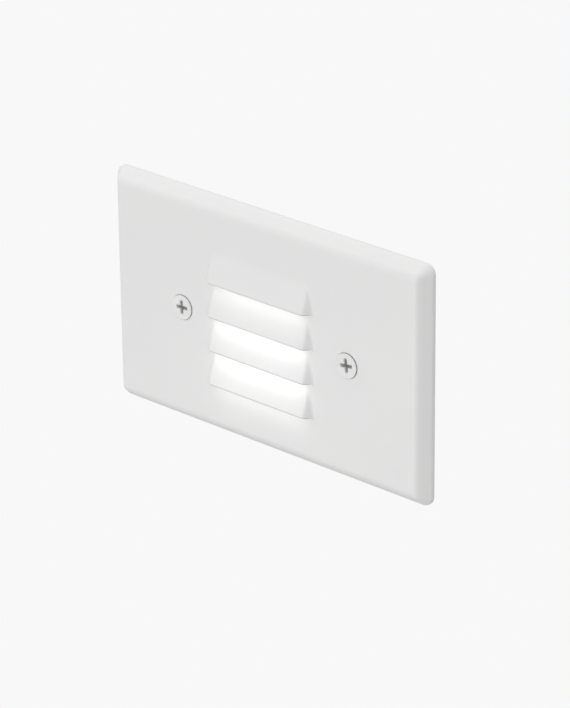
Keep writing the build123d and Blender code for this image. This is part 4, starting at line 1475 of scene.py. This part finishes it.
# %% Soften the engineered pieces' edges
EDGE_WIDTHS = {  # slot: width in millimetres
    "housing_plastic": 0.28, "bezel_plastic": 0.2, "zinc_steel": 0.09, "heat_sink": 0.1, "nylon": 0.12,
    "bushing_rubber": 0.25, "film_box": 0.25, "coil_tape": 0.2, "ferrite": 0.15, "connector_white": 0.1,
    "reflector_white": 0.1, "chip_black": 0.08, "varistor_blue": 0.2, "red_fibre": 0.05,
}
BEVEL_FROM = math.radians(38)
WELD_WITHIN = 1e-6  # metres
softened = 0
for name, node in nodes.items():
    width = EDGE_WIDTHS.get(slot_of[name])
    if node.hide_render or width is None:
        continue
    weld = node.modifiers.new("weld_corners", "WELD")
    weld.merge_threshold = WELD_WITHIN
    bevel = node.modifiers.new("soft_edges", "BEVEL")
    bevel.width = width * MM
    bevel.segments = 2
    bevel.limit_method = "ANGLE"
    bevel.angle_limit = BEVEL_FROM
    bevel.miter_outer = "MITER_ARC"
    weighted = node.modifiers.new("even_normals", "WEIGHTED_NORMAL")
    weighted.weight = 100
    weighted.keep_sharp = False
    softened += 1
print(softened, "engineered pieces with softened edges")

# %% [markdown]
# ## Light in the louvers
# The diodes shine through an opal lens, up into the hoods and out of their mouths, onto the face below.
# A render would need very many rays to find that way out, so each mouth also holds a thin lamp that
# faces down, hidden between lip and face. It hangs on the cover, so it comes along when that is lifted.

# %% Hang a lamp in each mouth
MOUTH_LAMP_LENGTH = 32.5
MOUTH_LAMP_DEPTH = 1.4
MOUTH_LAMP_Y = -7.25
MOUTH_LAMP_DROP = 0.15  # below the lip
MOUTH_LAMP_POWERS = (0.00037, 0.00063, 0.00059, 0.00036)  # watts, from the lowest mouth up

for hood, power in enumerate(MOUTH_LAMP_POWERS):
    lamp, holder = add_lamp(f"mouth_lamp_{hood + 1}", "AREA")
    lamp.shape = "RECTANGLE"
    lamp.size = MOUTH_LAMP_LENGTH * MM
    lamp.size_y = MOUTH_LAMP_DEPTH * MM
    lamp.energy = power
    lip_z = LOWEST_LIP_Z + hood * HOOD_PITCH
    holder.parent = cover
    holder.location = Vector((HOOD_MIDDLE_X, MOUTH_LAMP_Y, lip_z - MOUTH_LAMP_DROP)) * MM
    holder.visible_camera = False
print(len(MOUTH_LAMP_POWERS), "mouth lamps of", MOUTH_LAMP_LENGTH, "mm")

# %% [markdown]
# ## Measure and finish
# The pieces made here have to keep the real size. Both boxes, that of the engineered pieces and that of
# what is shown now, are written down in metres, so they can be compared.

# %% Measure and finish
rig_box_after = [list(corner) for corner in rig.bounds()]
with open("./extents.json", "w") as out:
    json.dump({"cad": cad_box, "visual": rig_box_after}, out)
print("box of what is shown, in mm:", in_mm(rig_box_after))
